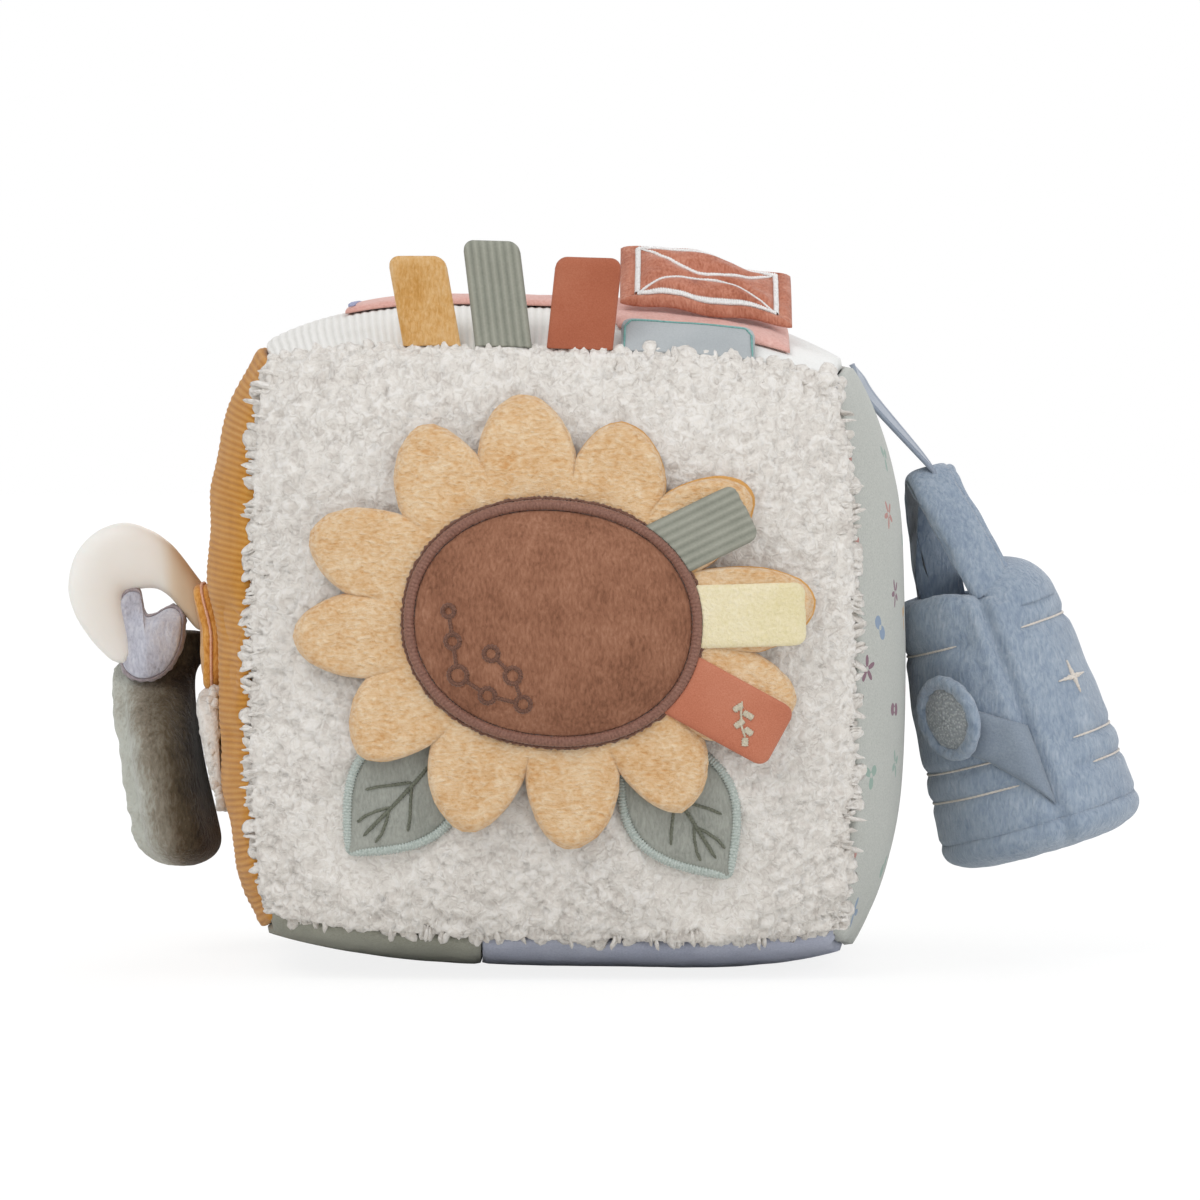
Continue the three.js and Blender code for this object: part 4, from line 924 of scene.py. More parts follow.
thread_line(label_line, label_surface, line_spots, 0.55, 0.14)
stitched("label_line", label_line, teal_thread, "label_weave", body="label")

# Patch and door flap on the top
# A pink plush patch is sewn flat to the top. A padded terracotta flap is sewn to it along one
# edge, with a white satin-stitch frame and two crossed lines that quilt it down in the middle.
PATCH_THICK = 1
PATCH_LIFT = 0.8
PATCH_LEFT = -51
PATCH_STEP = 14
PATCH_RIGHT = 57
PATCH_FRONT = -60
PATCH_WING_FRONT = -38
PATCH_BACK = 38
FLAP_X = 36.8
FLAP_Y = -52
FLAP_WIDTH = 42
FLAP_LENGTH = 22
FLAP_EDGE = 2.4
FLAP_CROWN = 2.4
FLAP_RAISE = radians(36)
FLAP_ROLL = radians(8)
FRAME_INSET = (0.81, 0.77)
CROSS_START, CROSS_RISE, CROSS_POWER = 0.1, 0.84, 1.7  # the crossed lines, as shares of the frame


def on_top(x, y, lift):
    u, v = x / SEAM_HALF, y / SEAM_HALF
    for _ in range(SOLVE_PASSES):
        u = x / half_size(SIDE_BULGE, v, 1)
        v = y / half_size(FACE_BULGE, u, 1)
    return Vector((x, y, CENTRE_HEIGHT + half_size(TOP_BULGE, u, v) - LEAN_SHARE * x + lift))


def patch_place(a, b, side):
    x = mix(PATCH_LEFT, PATCH_RIGHT, (a + 1) / 2)
    front = mix(PATCH_WING_FRONT, PATCH_FRONT, smooth(PATCH_STEP - 2, PATCH_STEP + 2, x))
    y = mix(front, PATCH_BACK, (b + 1) / 2)
    full = (PATCH_THICK + 0.4 + 0.3 * wobble(x / 8, y / 8, 11)) * filled(a, b, 30, 0.1)
    return on_top(x, y, PATCH_LIFT + (full if side > 0 else -0.3))


def flap_point(a, b, lift):
    hinge = on_top(FLAP_X, FLAP_Y, PATCH_LIFT + PATCH_THICK + LAY_GAP)
    across = Vector((cos(FLAP_ROLL), 0, -sin(FLAP_ROLL)))
    inward = Vector((0, cos(FLAP_RAISE), sin(FLAP_RAISE)))
    bow = 1.9 * sin(2.8 * a + 2.6) * (b + 1) / 2 + 0.5 * sin(7 * a + 2 * b)
    spot = hinge + across * (a * FLAP_WIDTH / 2) + inward * ((b + 1) * FLAP_LENGTH / 2)
    return spot + across.cross(inward).normalized() * (lift + bow)


def flap_height(a, b):
    """The quilted face: full between the stitched lines and drawn down along them."""
    in_x, in_y = abs(a) / FRAME_INSET[0], abs(b) / FRAME_INSET[1]
    far = max(in_x, in_y)
    cross = bump_at(in_y, CROSS_START + CROSS_RISE * in_x**CROSS_POWER, 1 / 6)
    crease = cross * smooth(1.1, 0.95, far) + bump_at(far, 1, 1 / 9)
    centre = exp(-((a * 3) ** 2) - (b * 3) ** 2)
    full = FLAP_CROWN * crown(a) * crown(b) - 1.1 * min(crease, 1) - 0.9 * centre
    return FLAP_EDGE + 0.8 + full + 0.35 * wobble(a * 5, b * 4, 13)


def flap_place(a, b, side):
    edge, middle = filled(a, b, 7, 0.02), FLAP_EDGE / 2
    lift = middle + (flap_height(a, b) - middle) * edge if side > 0 else middle * (1 - edge)
    return flap_point(a, b, lift)


def flap_surface(x, y, lift):
    a, b = x / (FLAP_WIDTH / 2), y / (FLAP_LENGTH / 2)
    return flap_point(a, b, flap_height(a, b) + lift)


pink_plush = plush("pink_plush", ["#D29D91", "#E0AFA4", "#E9C0B7"], patch=12)
rust_colours = ["#9A5844", "#B37058", "#C4836C", "#D0967F"]
terracotta_plush = plush("terracotta_plush", rust_colours, pile=0.6, patch=8, relief=0.6)
white_thread = thread("white_thread", ["#CFCCC8", "#E8E6E4", "#F4F3F1"])
blue_thread = thread("slate_blue_thread", ["#7F84A8", "#969BBB", "#A9AECA"])
patch, flap = slab(110, 80, patch_place), slab(110, 70, flap_place)
made("pink_patch", patch, pink_plush, "pink_plush", ["top_patch"], fill=0.2)
made("terracotta_flap", flap, terracotta_plush, "rust_plush", ["door_flap"], "flap", fill=0.5)
frame_x, frame_y = FRAME_INSET[0] * FLAP_WIDTH / 2, FRAME_INSET[1] * FLAP_LENGTH / 2
quilting = bmesh.new()
corners = [(-frame_x, -frame_y), (frame_x, -frame_y), (frame_x, frame_y), (-frame_x, frame_y)]
for start, end in zip(corners, corners[1:] + corners[:1]):
    thread_line(quilting, flap_surface, [start, end], 1.25, 0.5, pitch=0.6, taper=False)
for way in (1, -1):
    shares = [step / 8 for step in range(-8, 9)]
    rises = [way * (CROSS_START + CROSS_RISE * abs(share) ** CROSS_POWER) for share in shares]
    line = [(share * frame_x * 0.96, rise * frame_y) for share, rise in zip(shares, rises)]
    thread_line(quilting, flap_surface, line, 0.85, 0.35)
stitched("flap_stitches", quilting, white_thread, "rust_plush", body="flap")
patch_edge = bmesh.new()
zigzag = [
    (PATCH_LEFT + (2.3 if step % 2 else 0.7), mix(PATCH_WING_FRONT, PATCH_BACK, step / 40))
    for step in range(41)
]
thread_line(patch_edge, on_top, zigzag, 0.7, 0.3, lift=PATCH_LIFT + PATCH_THICK + 0.3)
stitched("patch_stitches", patch_edge, blue_thread, "pink_plush")

# Watering can
# A plush watering can with its own stuffing: two shaped sides joined by upright seams, a round
# base, stitched channels round the wall, a padded handle, a hood over half the top, a flat cloth
# spout and a padded rose. It hangs by a satin ribbon from the right top seam.
CAN_ACROSS = 32.5
CAN_DROP = 59.8
CAN_TILT = radians(-16.4)
CAN_HEIGHT = 56.5
CAN_BASE_RADIUS = 25
CAN_TOP_RADIUS = 19
CAN_SWELL = 0.9
# Share of the height, and degrees from the front where its two threads start
CHANNELS = [(0.848, 24, -24), (0.322, 14, -34), (0.194, 7, -42)]
CHANNEL_DEPTH = 0.9
CHANNEL_HALF = 0.026
LIP_RISE = 4.2
SEAM_TURN = (-2, -11)  # degrees from the front, at the top and at the base
BOTTOM_SHARE, WALL_SHARE = -0.86, 0.7  # where the wall starts and ends along the can's skin
BASE_DEPTH = 8
can_seam = skin(1, 0, 1)
can_place = Vector((can_seam.x + CAN_ACROSS, 0, can_seam.z - CAN_DROP))
can_frame = Matrix.Translation(can_place) @ Matrix.Rotation(CAN_TILT, 4, "Y")


def in_can(reach, turn, z):
    """A point of the can's own frame: turn runs from the flower side toward the cube."""
    return can_frame @ Vector((-reach * sin(turn), -reach * cos(turn), z))


def plain_radius(share):
    return mix(CAN_BASE_RADIUS, CAN_TOP_RADIUS, share) + CAN_SWELL * sin(pi * share)


def can_radius(share, degrees):
    """The padded wall: it swells between its channels and is drawn in at its upright seams."""
    radius = plain_radius(share) + 0.5
    seam = mix(SEAM_TURN[1], SEAM_TURN[0], share)
    off_seam = abs((degrees - seam + 90) % 180 - 90)
    for channel, _, _ in CHANNELS:
        radius -= CHANNEL_DEPTH * smooth(8, 26, off_seam) * bump_at(share, channel, CHANNEL_HALF)
    radius += 0.5 * bump_at(off_seam, 9, 5) - 1.5 * bump_at(off_seam, 0, 3)
    return radius - 0.6 * smooth(0.045, 0, share) ** 2 - 1.3 * smooth(0.95, 1, share) ** 2


def can_point(degrees, below, lift):
    """Degrees run from the flower side toward the cube, and below is the distance from the top."""
    share, turn = 1 - below / CAN_HEIGHT, radians(degrees)
    folds = 0.5 * wobble(cos(turn) * 3, sin(turn) * 3, below / 9)
    lip = LIP_RISE * smooth(0.86, 1, share) * smooth(-0.35, 0.6, sin(turn))
    return in_can(can_radius(share, degrees) + lift + folds, turn, lip - below)


def can_wall(a, b):
    """The wall, the bottom and the sunken top in one skin: b runs from bottom to top middle."""
    degrees = 180 * a
    if b < BOTTOM_SHARE:
        reach = can_radius(0, degrees) * (b + 1) / (BOTTOM_SHARE + 1)
        return in_can(reach, radians(degrees), -CAN_HEIGHT)
    if b < WALL_SHARE:
        rise = (b - BOTTOM_SHARE) / (WALL_SHARE - BOTTOM_SHARE)
        return can_point(degrees, CAN_HEIGHT * (1 - rise), 0)
    inward = (b - WALL_SHARE) / (1 - WALL_SHARE)
    lip = 1.1 * sin(pi * min(inward * 3, 1)) + 0.4 * wobble(a * 30, b * 3, 2) * (1 - inward)
    sunk = can_frame.to_3x3() @ Vector((0, 0, lip - 5 * smooth(0.12, 0.5, inward)))
    return can_point(degrees, 0, 0).lerp(can_frame.translation, inward) + sunk


def can_base_point(a, b):
    turn, share = pi * a, 1 - abs(b)
    full = can_radius(0, 180 * a) + 0.9
    if b >= 0:
        return in_can((full - 0.9) * share, turn, 0.4 - CAN_HEIGHT)
    fall = pi / 2 * abs(b) ** 1.3
    folds = 0.35 * wobble(cos(turn) * 4, sin(turn) * 4, share * 2)
    down = BASE_DEPTH * sin(fall) ** 0.75 + folds * sin(fall)
    return in_can(full * cos(fall) ** 0.42 - 0.9 * exp(-down), turn, -CAN_HEIGHT - down)


blue_plush = plush(
    "blue_grey_plush",
    ["#8292A5", "#909EB0", "#9EABBA", "#AEB8C5"],
    pile=0.9,
    patch=8,
    sheen=0.5,
    relief=0.75,
    patchy=0.35,
)


def on_can(name, mesh, node, fill):
    return made(name, mesh, blue_plush, "blue_plush", [node], "can", fill=fill)


on_can("can_wall", wrapped(180, 150, can_wall), "can_body", 0.8)
on_can("can_bottom", wrapped(120, 48, can_base_point), "can_base", 0.8)

# Handle: a stuffed band, flat inside and rounded outside, with its seam along the outer edge.
HANDLE_WIDTH = 13.4
HANDLE_THICK = 5.5
HANDLE_RISE = 33
HANDLE_SPAN = 25
HANDLE_TURN = radians(28)
HANDLE_SHARES = [
    (0.2, -0.52, 0.04),
    (0.1, -0.42, 0.42),
    (-0.04, -0.22, 0.86),
    (-0.08, 0, 1),
    (-0.14, 0.18, 0.86),
    (-0.24, 0.34, 0.42),
    (-0.3, 0.44, 0.04),
]
handle_size = Vector((HANDLE_SPAN, HANDLE_SPAN, HANDLE_RISE))
handle_line = [Vector(shares) * handle_size for shares in HANDLE_SHARES]


def along_curve(points, share):
    """A point of the smooth curve through the given points, and the way that it runs there."""
    legs = len(points) - 1
    place = min(max(share, 0), 1) * legs
    index = min(int(place), legs - 1)
    t = place - index
    p1, p2 = points[index], points[index + 1]
    p0 = points[index - 1] if index else p1 * 2 - p2
    p3 = points[index + 2] if index + 2 <= legs else p2 * 2 - p1
    first, second, third = p2 - p0, 2 * p0 - 5 * p1 + 4 * p2 - p3, 3 * p1 - p0 - 3 * p2 + p3
    spot = 0.5 * (2 * p1 + first * t + second * t * t + third * t**3)
    return spot, (0.5 * (first + 2 * second * t + 3 * third * t * t)).normalized()


def handle_point(a, b):
    share, turn = (b + 1) / 2, pi * a
    spot, way = along_curve(handle_line, share)
    other = way.cross(Vector((*polar(1, HANDLE_TURN), 0))).normalized()
    across = other.cross(way).normalized()
    full = (1 + 0.07 * wobble(share * 14, turn * 1.2, 2)) * (1 - 0.2 * bump_at(abs(turn), 0.72, 0.13))
    spot += across * powered(cos(turn), 0.78) * HANDLE_WIDTH / 2 * full
    return can_frame @ (spot + other * powered(sin(turn), 0.78) * HANDLE_THICK / 2 * full)


on_can("can_grip", wrapped(40, 90, handle_point), "can_handle", 0.7)

# Hood: a half dome of plush over the outer half of the top, gathered where the handle joins.
HOOD_HEIGHT = 9
HOOD_START = 2


def hood_point(a, b):
    turn, rise = pi / 2 * a, (b + 1) / 2
    reach = cos(rise * pi / 2) ** 0.6
    full_x = CAN_TOP_RADIUS - HOOD_START + 1.1 * smooth(0.6, 0, rise)
    x = HOOD_START + full_x * cos(turn) ** 0.8 * reach if abs(a) < 1 else HOOD_START
    y = CAN_TOP_RADIUS * mix(0.98, 0.82, rise) * sin(turn) * reach
    z = mix(-3.6, HOOD_HEIGHT + 0.5 * wobble(a * 3, rise * 3, 5), sin(rise * pi / 2) ** 0.9)
    return can_frame @ Vector((x, y, z))


on_can("can_hood_cloth", wrapped(60, 36, hood_point), "can_hood", 0.6)

# Spout and rose: smooth cloth sewn into the side seam, narrow at the rose; the rose is a padded
# ring of plush round a disc of glittering cloth.
SPOUT_THICK = 1.3
ROSE_TURN = radians(35)
ROSE_BELOW = 25
ROSE_FACING = radians(-52)
ROSE_RADIUS = 9.1
ROSE_ROLL = 1.7
# Corners of the spout's cloth on the wall: degrees and distance below the top, at the rose first
SPOUT_CORNERS = [Vector(corner) for corner in [(24, 23.8), (38, 33), (-7.6, 32), (-10, 52.5)]]
rose_out = plain_radius(1 - ROSE_BELOW / CAN_HEIGHT) + 2.6 + SPOUT_THICK
rose_place = Vector((-rose_out * sin(ROSE_TURN), -rose_out * cos(ROSE_TURN), -ROSE_BELOW))
rose_frame = can_frame @ Matrix.Translation(rose_place) @ Matrix.Rotation(ROSE_FACING, 4, "Z")


def spout_point(a, b, side):
    across, down = (a + 1) / 2, (b + 1) / 2
    near, far = (SPOUT_CORNERS[at].lerp(SPOUT_CORNERS[at + 1], down) for at in (0, 2))
    degrees, below = near.lerp(far, across)
    full = (SPOUT_THICK + 0.5 * crown(a) * crown(b)) * filled(a, b, 12, 0.1) + 0.3
    sag = 2.2 * down * sin(pi * across)
    return can_point(degrees, below - sag, LAY_GAP + (full if side > 0 else 0.1))


def in_rose(reach, turn, out):
    return rose_frame @ Vector((reach * cos(turn), out, reach * sin(turn)))


def rose_ring_point(a, b):
    turn, rolled = pi * a, pi * b
    roll = ROSE_ROLL * (1 + 0.3 * wobble(cos(turn) * 5, sin(turn) * 5, rolled))
    return in_rose(ROSE_RADIUS + roll * cos(rolled), turn, roll * sin(rolled))


def rose_face_point(a, b):
    turn, share = pi * a, 1 - abs(b)
    folds = 0.25 * wobble(cos(turn) * 3, sin(turn) * 3, share * 3)
    bulge = 0.4 + 1.5 * (1 - share**2) + folds
    return in_rose((ROSE_RADIUS - 0.5 * ROSE_ROLL) * share, turn, -bulge if b > 0 else 1.2)


cloth_colours = ["#7C8795", "#8994A1", "#97A1AD"]
spout_cloth = weave("blue_grey_cloth", cloth_colours, sheen=0.3, relief=0.35)
glitter, tree, surface, place = shader("glitter_cloth", 0.5, 0.1, 0.5)
specks = add(tree, "TexVoronoi", {"Vector": place["Object"], "Scale": 1 / (0.7 * MM)})
specks = specks.outputs["Distance"]
speck_colour = tint(tree, specks, 0.05, 0.6, ["#D2D4D4", "#B2B6B8", "#9A9FA3"])
dress(tree, surface, speck_colour, specks, 0.8, 0.5)
spout = slab(40, 40, spout_point)
made("can_spout_cloth", spout, spout_cloth, "blue_cloth", ["can_spout"], "can", fill=0.2)
on_can("can_rose_pad", wrapped(80, 24, rose_ring_point), "can_rose_ring", 0.7)
disc = wrapped(60, 30, rose_face_point)
made("can_rose_disc", disc, glitter, "glitter_cloth", ["can_rose_face"], "can", fill=0.4)

# Stitches on the can: a line of cream thread in each channel, and a four-pointed star.
DEGREE_ARC = radians(1) * (CAN_BASE_RADIUS + CAN_TOP_RADIUS) / 2
STAR = Vector((-50, 24))
STAR_RADIUS = 21
STAR_ARMS = [(5.2, 0), (0, 4.4)]
can_stitches = bmesh.new()


def can_surface(x, y, lift):
    return can_point(x / DEGREE_ARC, y, lift + 0.1)


def can_line(places, width, height):
    """A line of thread through places given in degrees and distances below the can's top."""
    path = [(degrees * DEGREE_ARC, below) for degrees, below in places]
    thread_line(can_stitches, can_surface, path, width, height, pitch=1.1)


for channel, near, far in CHANNELS:
    below = CAN_HEIGHT * (1 - channel)
    can_line([(near, below), (60, below), (102, below)], 0.55, 0.3)
    can_line([(far, below), (-60, below), (-105, below)], 0.55, 0.3)
for across, down in STAR_ARMS:
    arm = Vector((across * 180 / pi / STAR_RADIUS, down))
    for reach, width in ((1, 0.5), (0.7, 0.85), (0.4, 1.3)):
        can_line([STAR - arm * reach, STAR, STAR + arm * reach], width, 0.3 + 0.1 / reach)
cream_thread = thread("cream_thread", ["#BFB6AC", "#D8CFC5", "#E6DFD6"])
stitched("can_stitches", can_stitches, cream_thread, "blue_plush", body="can")

# Ribbon strap: a flat satin ribbon from the top seam of the right side to the handle.
STRAP_WIDTH = 12
STRAP_THICK = 1.1
STRAP_SHARES = [(0.985, 0.9, 0.45), (0.94, 0.9, 0), (0.87, 1.3, 0)]
STRAP_TWIST = radians(11)
strap_clear = LAY_GAP + STRAP_THICK / 2
strap_line = [
    skin(1, 0, height) + Vector((strap_clear * out, 0, strap_clear * up))
    for height, out, up in STRAP_SHARES
]
handle_top = Vector((-0.08 * HANDLE_SPAN, 0, HANDLE_RISE + HANDLE_THICK / 2 + LAY_GAP))
handle_top = can_frame @ handle_top
strap_line += [handle_top + Vector((0, 0, STRAP_THICK / 2)), handle_top + Vector((2, 0, -3))]


def strap_point(a, b, side):
    spot, way = along_curve(strap_line, (b + 1) / 2)
    twist = STRAP_TWIST * sin(pi * min((b + 1) / 1.7, 1))
    across = Vector((0, cos(twist), 0)) - Vector((way.z, 0, -way.x)) * sin(twist)
    narrow = mix(1, 0.8, smooth(-0.2, 1, b))
    lift = side * (STRAP_THICK / 2 - 0.2 + 0.25 * smooth(0.78, 0.9, abs(a)))
    return spot + across * a * STRAP_WIDTH / 2 * narrow + way.cross(across) * lift


ribbon_colours = ["#8790A0", "#969FAD", "#A5ADB9"]
blue_ribbon = weave("blue_grey_satin", ribbon_colours, thread=0.35, sheen=0.3, roughness=0.5)
strap = slab(24, 60, strap_point)
strap = made("ribbon_strap", strap, blue_ribbon, "blue_ribbon", ["can_strap"], "strap")

# Teether holder
# Two layers of ochre plush over thin wadding, turned and topstitched round the edge with pale
# thread. The tab is sewn flat on the left side and its edge faces forward.
HOLDER_HALF_HEIGHT = 13.5
HOLDER_HALF_WIDTH = 11
HOLDER_THICK = 5.4
HOLDER_MIDDLE = 79
HOLDER_POWER = 4.5
HOLDER_EDGE = 0.45  # share of the tab's section that is its rounded edge
STITCH_RADIUS = 12


def on_left(y, z, lift):
    """The point of the left side beside (y, z), raised by the given lift."""
    x, v, w = -SEAM_HALF, y / SEAM_HALF, (z - CENTRE_HEIGHT) / SEAM_HALF
    for _ in range(SOLVE_PASSES):
        v = y / half_size(FACE_BULGE, 1, w)
        w = (z + LEAN_SHARE * x - CENTRE_HEIGHT) / half_size(TOP_BULGE, 1, v)
        x = -half_size(SIDE_BULGE, v, w)
    return Vector((x + side_dent(y, z) - lift, y, z))


def holder_rim(angle, share):
    """A place on the tab: its outline is a soft-cornered oblong, reached at a share of 1."""
    reach = share * oval_reach(angle, HOLDER_HALF_WIDTH, HOLDER_HALF_HEIGHT, HOLDER_POWER)
    return reach * cos(angle), HOLDER_MIDDLE + reach * sin(angle)


def holder_point(a, b):
    angle, turn = pi * a, copysign(pi / 2 * min(abs(b) / HOLDER_EDGE, 1), b)
    share = min((1 - abs(b)) / (1 - HOLDER_EDGE), 1)
    y, z = holder_rim(angle, share * (1 - 0.1 * (1 - cos(turn))))
    full = HOLDER_THICK * (0.78 + 0.22 * (1 - share**2))
    groove = 0.5 * bump_at(turn, 0, 0.3)
    y -= copysign(groove, y) * cos(angle) ** 2
    z -= copysign(groove, z - HOLDER_MIDDLE) * sin(angle) ** 2
    folds = 0.3 * wobble(y / 4, z / 4, turn) if b > 0.1 else 0
    return on_left(y, z, LAY_GAP + full * (1 + sin(turn)) / 2 + folds)


def holder_edge(along, across, lift):
    y, z = holder_rim(along / STITCH_RADIUS, 1 + (lift - 0.1) / STITCH_RADIUS)
    return on_left(y, z, LAY_GAP + HOLDER_THICK * 0.39 + across)


ochre_colours = ["#B26F2A", "#C98A40", "#DCA459", "#E9BC7C"]
ochre_plush = plush("ochre_plush", ochre_colours, pile=0.6, patch=9, nap=(1, 1, 0.5))
rose_thread = thread("rose_white_thread", ["#C98E6C", "#D9A587", "#E6BCA3"])
holder = wrapped(120, 40, holder_point)
made("holder_pad", holder, ochre_plush, "ochre_plush", ["toy_holder"], fill=0.4)
topstitch = bmesh.new()
round_tab = [(STITCH_RADIUS * radians(6 * step), 0) for step in range(61)]
thread_line(topstitch, holder_edge, round_tab, 0.7, 0.4, pitch=2.2, taper=False)
stitched("holder_stitches", topstitch, rose_thread, "ochre_plush")

# Teether hook
# One moulding of food-grade silicone: a broad smooth teardrop that tapers to a root sewn into the
# holder. The surface is matte and a little translucent; toward the root its colour turns tan, a
# painted warm reflection and shade from the ochre holder, with soft random blotches.
HOOK_ROOT = 90
HOOK_OUT = 5.95
HOOK_REACH = 31.5
HOOK_HEIGHT = 36
HOOK_THICK = 9
HOOK_TIP = 0.9  # share of the length where the tip starts to round off
# Outer and inner edge from the root to the tip, as shares of the reach and the height
HOOK_SHARES = [
    (0.12, 0.05, 0.12, -0.26),
    (0.05, 0.13, 0.05, -0.24),
    (-0.08, 0.28, -0.08, -0.1),
    (-0.17, 0.36, -0.16, -0.02),
    (-0.31, 0.44, -0.26, 0.03),
    (-0.51, 0.49, -0.39, 0.03),
    (-0.73, 0.43, -0.49, 0.01),
    (-0.9, 0.27, -0.52, -0.04),
    (-0.96, 0.05, -0.51, -0.1),
    (-0.91, -0.14, -0.49, -0.19),
    (-0.8, -0.3, -0.46, -0.28),
    (-0.7, -0.4, -0.45, -0.34),
    (-0.61, -0.47, -0.45, -0.4),
    (-0.52, -0.5, -0.48, -0.47),
]
hook_root = on_left(0, HOOK_ROOT, HOOK_OUT) - Vector((side_dent(0, HOOK_ROOT), 0, 0))
hook_lines = [
    [hook_root + Vector((row[at] * HOOK_REACH, 0, row[at + 1] * HOOK_HEIGHT)) for row in HOOK_SHARES]
    for at in (0, 2)
]


def hook_point(a, b):
    share, turn = 1 - ((1 - b) / 2) ** 1.25, pi * a
    outer, inner = (along_curve(line, share)[0] for line in hook_lines)
    tip = sqrt(max(1 - (max(share - HOOK_TIP, 0) / (1 - HOOK_TIP)) ** 2, 0))
    root = 1 - 0.25 * smooth(0.1, 0, share)
    spot = (outer + inner) / 2 + (inner - outer) / 2 * powered(cos(turn), 0.85) * mix(0.45, 1, tip)
    thick = HOOK_THICK / 2 * mix(0.5, 1, tip) * (1 - 0.2 * smooth(0.7, 0.95, share)) * root
    return spot + Vector((0, powered(sin(turn), 0.7) * thick, 0))


silicone, tree, surface, place = shader("cream_silicone", 0.5, 0.0, 0.4)
# Painted warm reflection and shade from the ochre holder: the colour turns tan over the last 13 mm
# toward the root.
along_x = add(tree, "SeparateXYZ", {"Vector": place["Object"]}).outputs["X"]
painted_reflection_range = {"Value": along_x, "From Min": -0.104, "From Max": -0.0905}
painted_root_reflection = add(tree, "MapRange", painted_reflection_range, interpolation_type="SMOOTHERSTEP")
random_blotches = grain(tree, place["Object"], 11, 4)["Fac"]
painted_reflection_and_blotches = blended(tree, 0.22, painted_root_reflection.outputs["Result"], random_blotches)
silicone_colours = ["#F1EFEA", "#E9E5DD", "#D6C5AE", "#C3A888"]
satin_grain = grain(tree, place["Object"], 0.7, 2)["Fac"]
dress(tree, surface, tint(tree, painted_reflection_and_blotches, 0.02, 0.98, silicone_colours), satin_grain, 0.08, 0.2)
haze = add(tree, "MapRange", {"Value": satin_grain, "To Min": 0.44, "To Max": 0.58})
tree.links.new(haze.outputs["Result"], surface.inputs["Roughness"])
surface.inputs["Subsurface Weight"].default_value = 0.12
surface.inputs["Subsurface Radius"].default_value = (0.006, 0.004, 0.003)
surface.inputs["Subsurface Scale"].default_value = 0.5
hook = wrapped(48, 110, hook_point)
made("teether_hook", hook, silicone, "cream_silicone", ["toy_hook"], "hook_toy")

# Lavender bulb
# Two faces of lavender plush round a mauve edge strip, lightly filled and sewn in under the hook.
# It has a high lobe under the arch, a notch, and a low lobe toward the cube.
BULB_WIDTH = 15.1
BULB_HEIGHT = 20.9
BULB_THICK = 12
BULB_RIM = 0.07
# Outline from the middle, as shares of the width and the height
BULB_SHARES = [
    (0.64, 0.18), (0.62, 0.33), (0.5, 0.42), (0.33, 0.41), (0.14, 0.33), (-0.01, 0.31),
    (-0.07, 0.38), (-0.1, 0.47), (-0.13, 0.6), (-0.24, 0.65), (-0.4, 0.62), (-0.5, 0.5),
    (-0.52, 0.26), (-0.5, -0.07), (-0.44, -0.36), (-0.22, -0.5), (0.06, -0.5), (0.34, -0.39),
    (0.52, -0.19), (0.61, 0),
]
bulb_middle = hook_root + Vector((-10.3, 0, -11.6))
bulb_outline = [Vector((x * BULB_WIDTH, 0, z * BULB_HEIGHT)) for x, z in BULB_SHARES]


def bulb_edge(a):
    """The closed outline at a turn from -1 to 1, smoothed through its given places."""
    count = len(bulb_outline)
    place = (a + 1) / 2 * count
    ring = [bulb_outline[(int(place) + step) % count] for step in (-1, 0, 1, 2)]
    return along_curve(ring, (1 + place % 1) / 3)[0]


def bulb_point(a, b):
    edge, share = bulb_edge(a), 1 - abs(b)
    spot = edge * share * (1 - BULB_RIM)
    puff = (1 - share**2.6) ** 0.7
    forward = smooth(-5, 0.5, spot.x) * smooth(8, 4.5, spot.z)
    out = mix(mix(0.2, 0.34, forward), mix(0.27, 0.56, forward), puff) * BULB_THICK
    out += 0.35 * noise.noise(edge * share / 3.5) * puff
    return bulb_middle + spot + Vector((0, copysign(out, b), 0))


def bulb_rim_point(a, b):
    edge, turn = bulb_edge(a), pi * b
    crease = 0.05 * noise.noise(edge * 0.9 + Vector((0, 3, 0)))
    share = 0.92 + (0.08 + crease) * cos(turn)
    deep = mix(0.2, 0.34, smooth(-5, 0.5, edge.x) * smooth(9, 5, edge.z)) * BULB_THICK
    return bulb_middle + edge * share + Vector((0, deep * sin(turn), 0))


lavender_colours = ["#A0A0AB", "#B8B9C5", "#C9CAD3", "#D8D9DF"]
lavender_plush = plush("lavender_plush", lavender_colours, patch=8, nap=(1, 1, 0.5))
mauve_plush = plush("mauve_plush", ["#857A80", "#978C91", "#A69CA0", "#B5ACB0"], pile=0.6, patch=6)
bulb, rim = wrapped(160, 40, bulb_point), wrapped(160, 20, bulb_rim_point)
made("bulb_cloth", bulb, lavender_plush, "lavender_plush", ["toy_bulb"], "hook_toy", fill=0.6)
made("bulb_edge", rim, mauve_plush, "lavender_plush", body="hook_toy", fill=0.5)

# Long pad
# Two cuts of sage plush sewn edge to edge and filled, so the seams stand out as ruffled lips and
# the pile falls in long folds. Its flat top is sewn in behind the bulb, where it bends.
PAD_DROP = 9.3
LONG_PAD_LENGTH = 47.5
LONG_PAD_WIDTH = 21
LONG_PAD_DEPTH = 30
LONG_PAD_SHARES = [
    (0.3, 10.4, -0.24), (0.15, 9, -0.1), (0.04, 4.5, 0.03),
    (0.14, 0.5, 0.4), (0.29, 0, 0.74), (0.41, 0, 1),
]
LIP_TURN = radians(-118)  # where the front seam runs, round the section
FOOT_START, TOP_END = 0.84, 0.04
pad_top = bulb_middle - Vector((0, 0, PAD_DROP))
long_pad_line = [
    pad_top + Vector((x * LONG_PAD_WIDTH, y, -down * LONG_PAD_LENGTH)) for x, y, down in LONG_PAD_SHARES
]


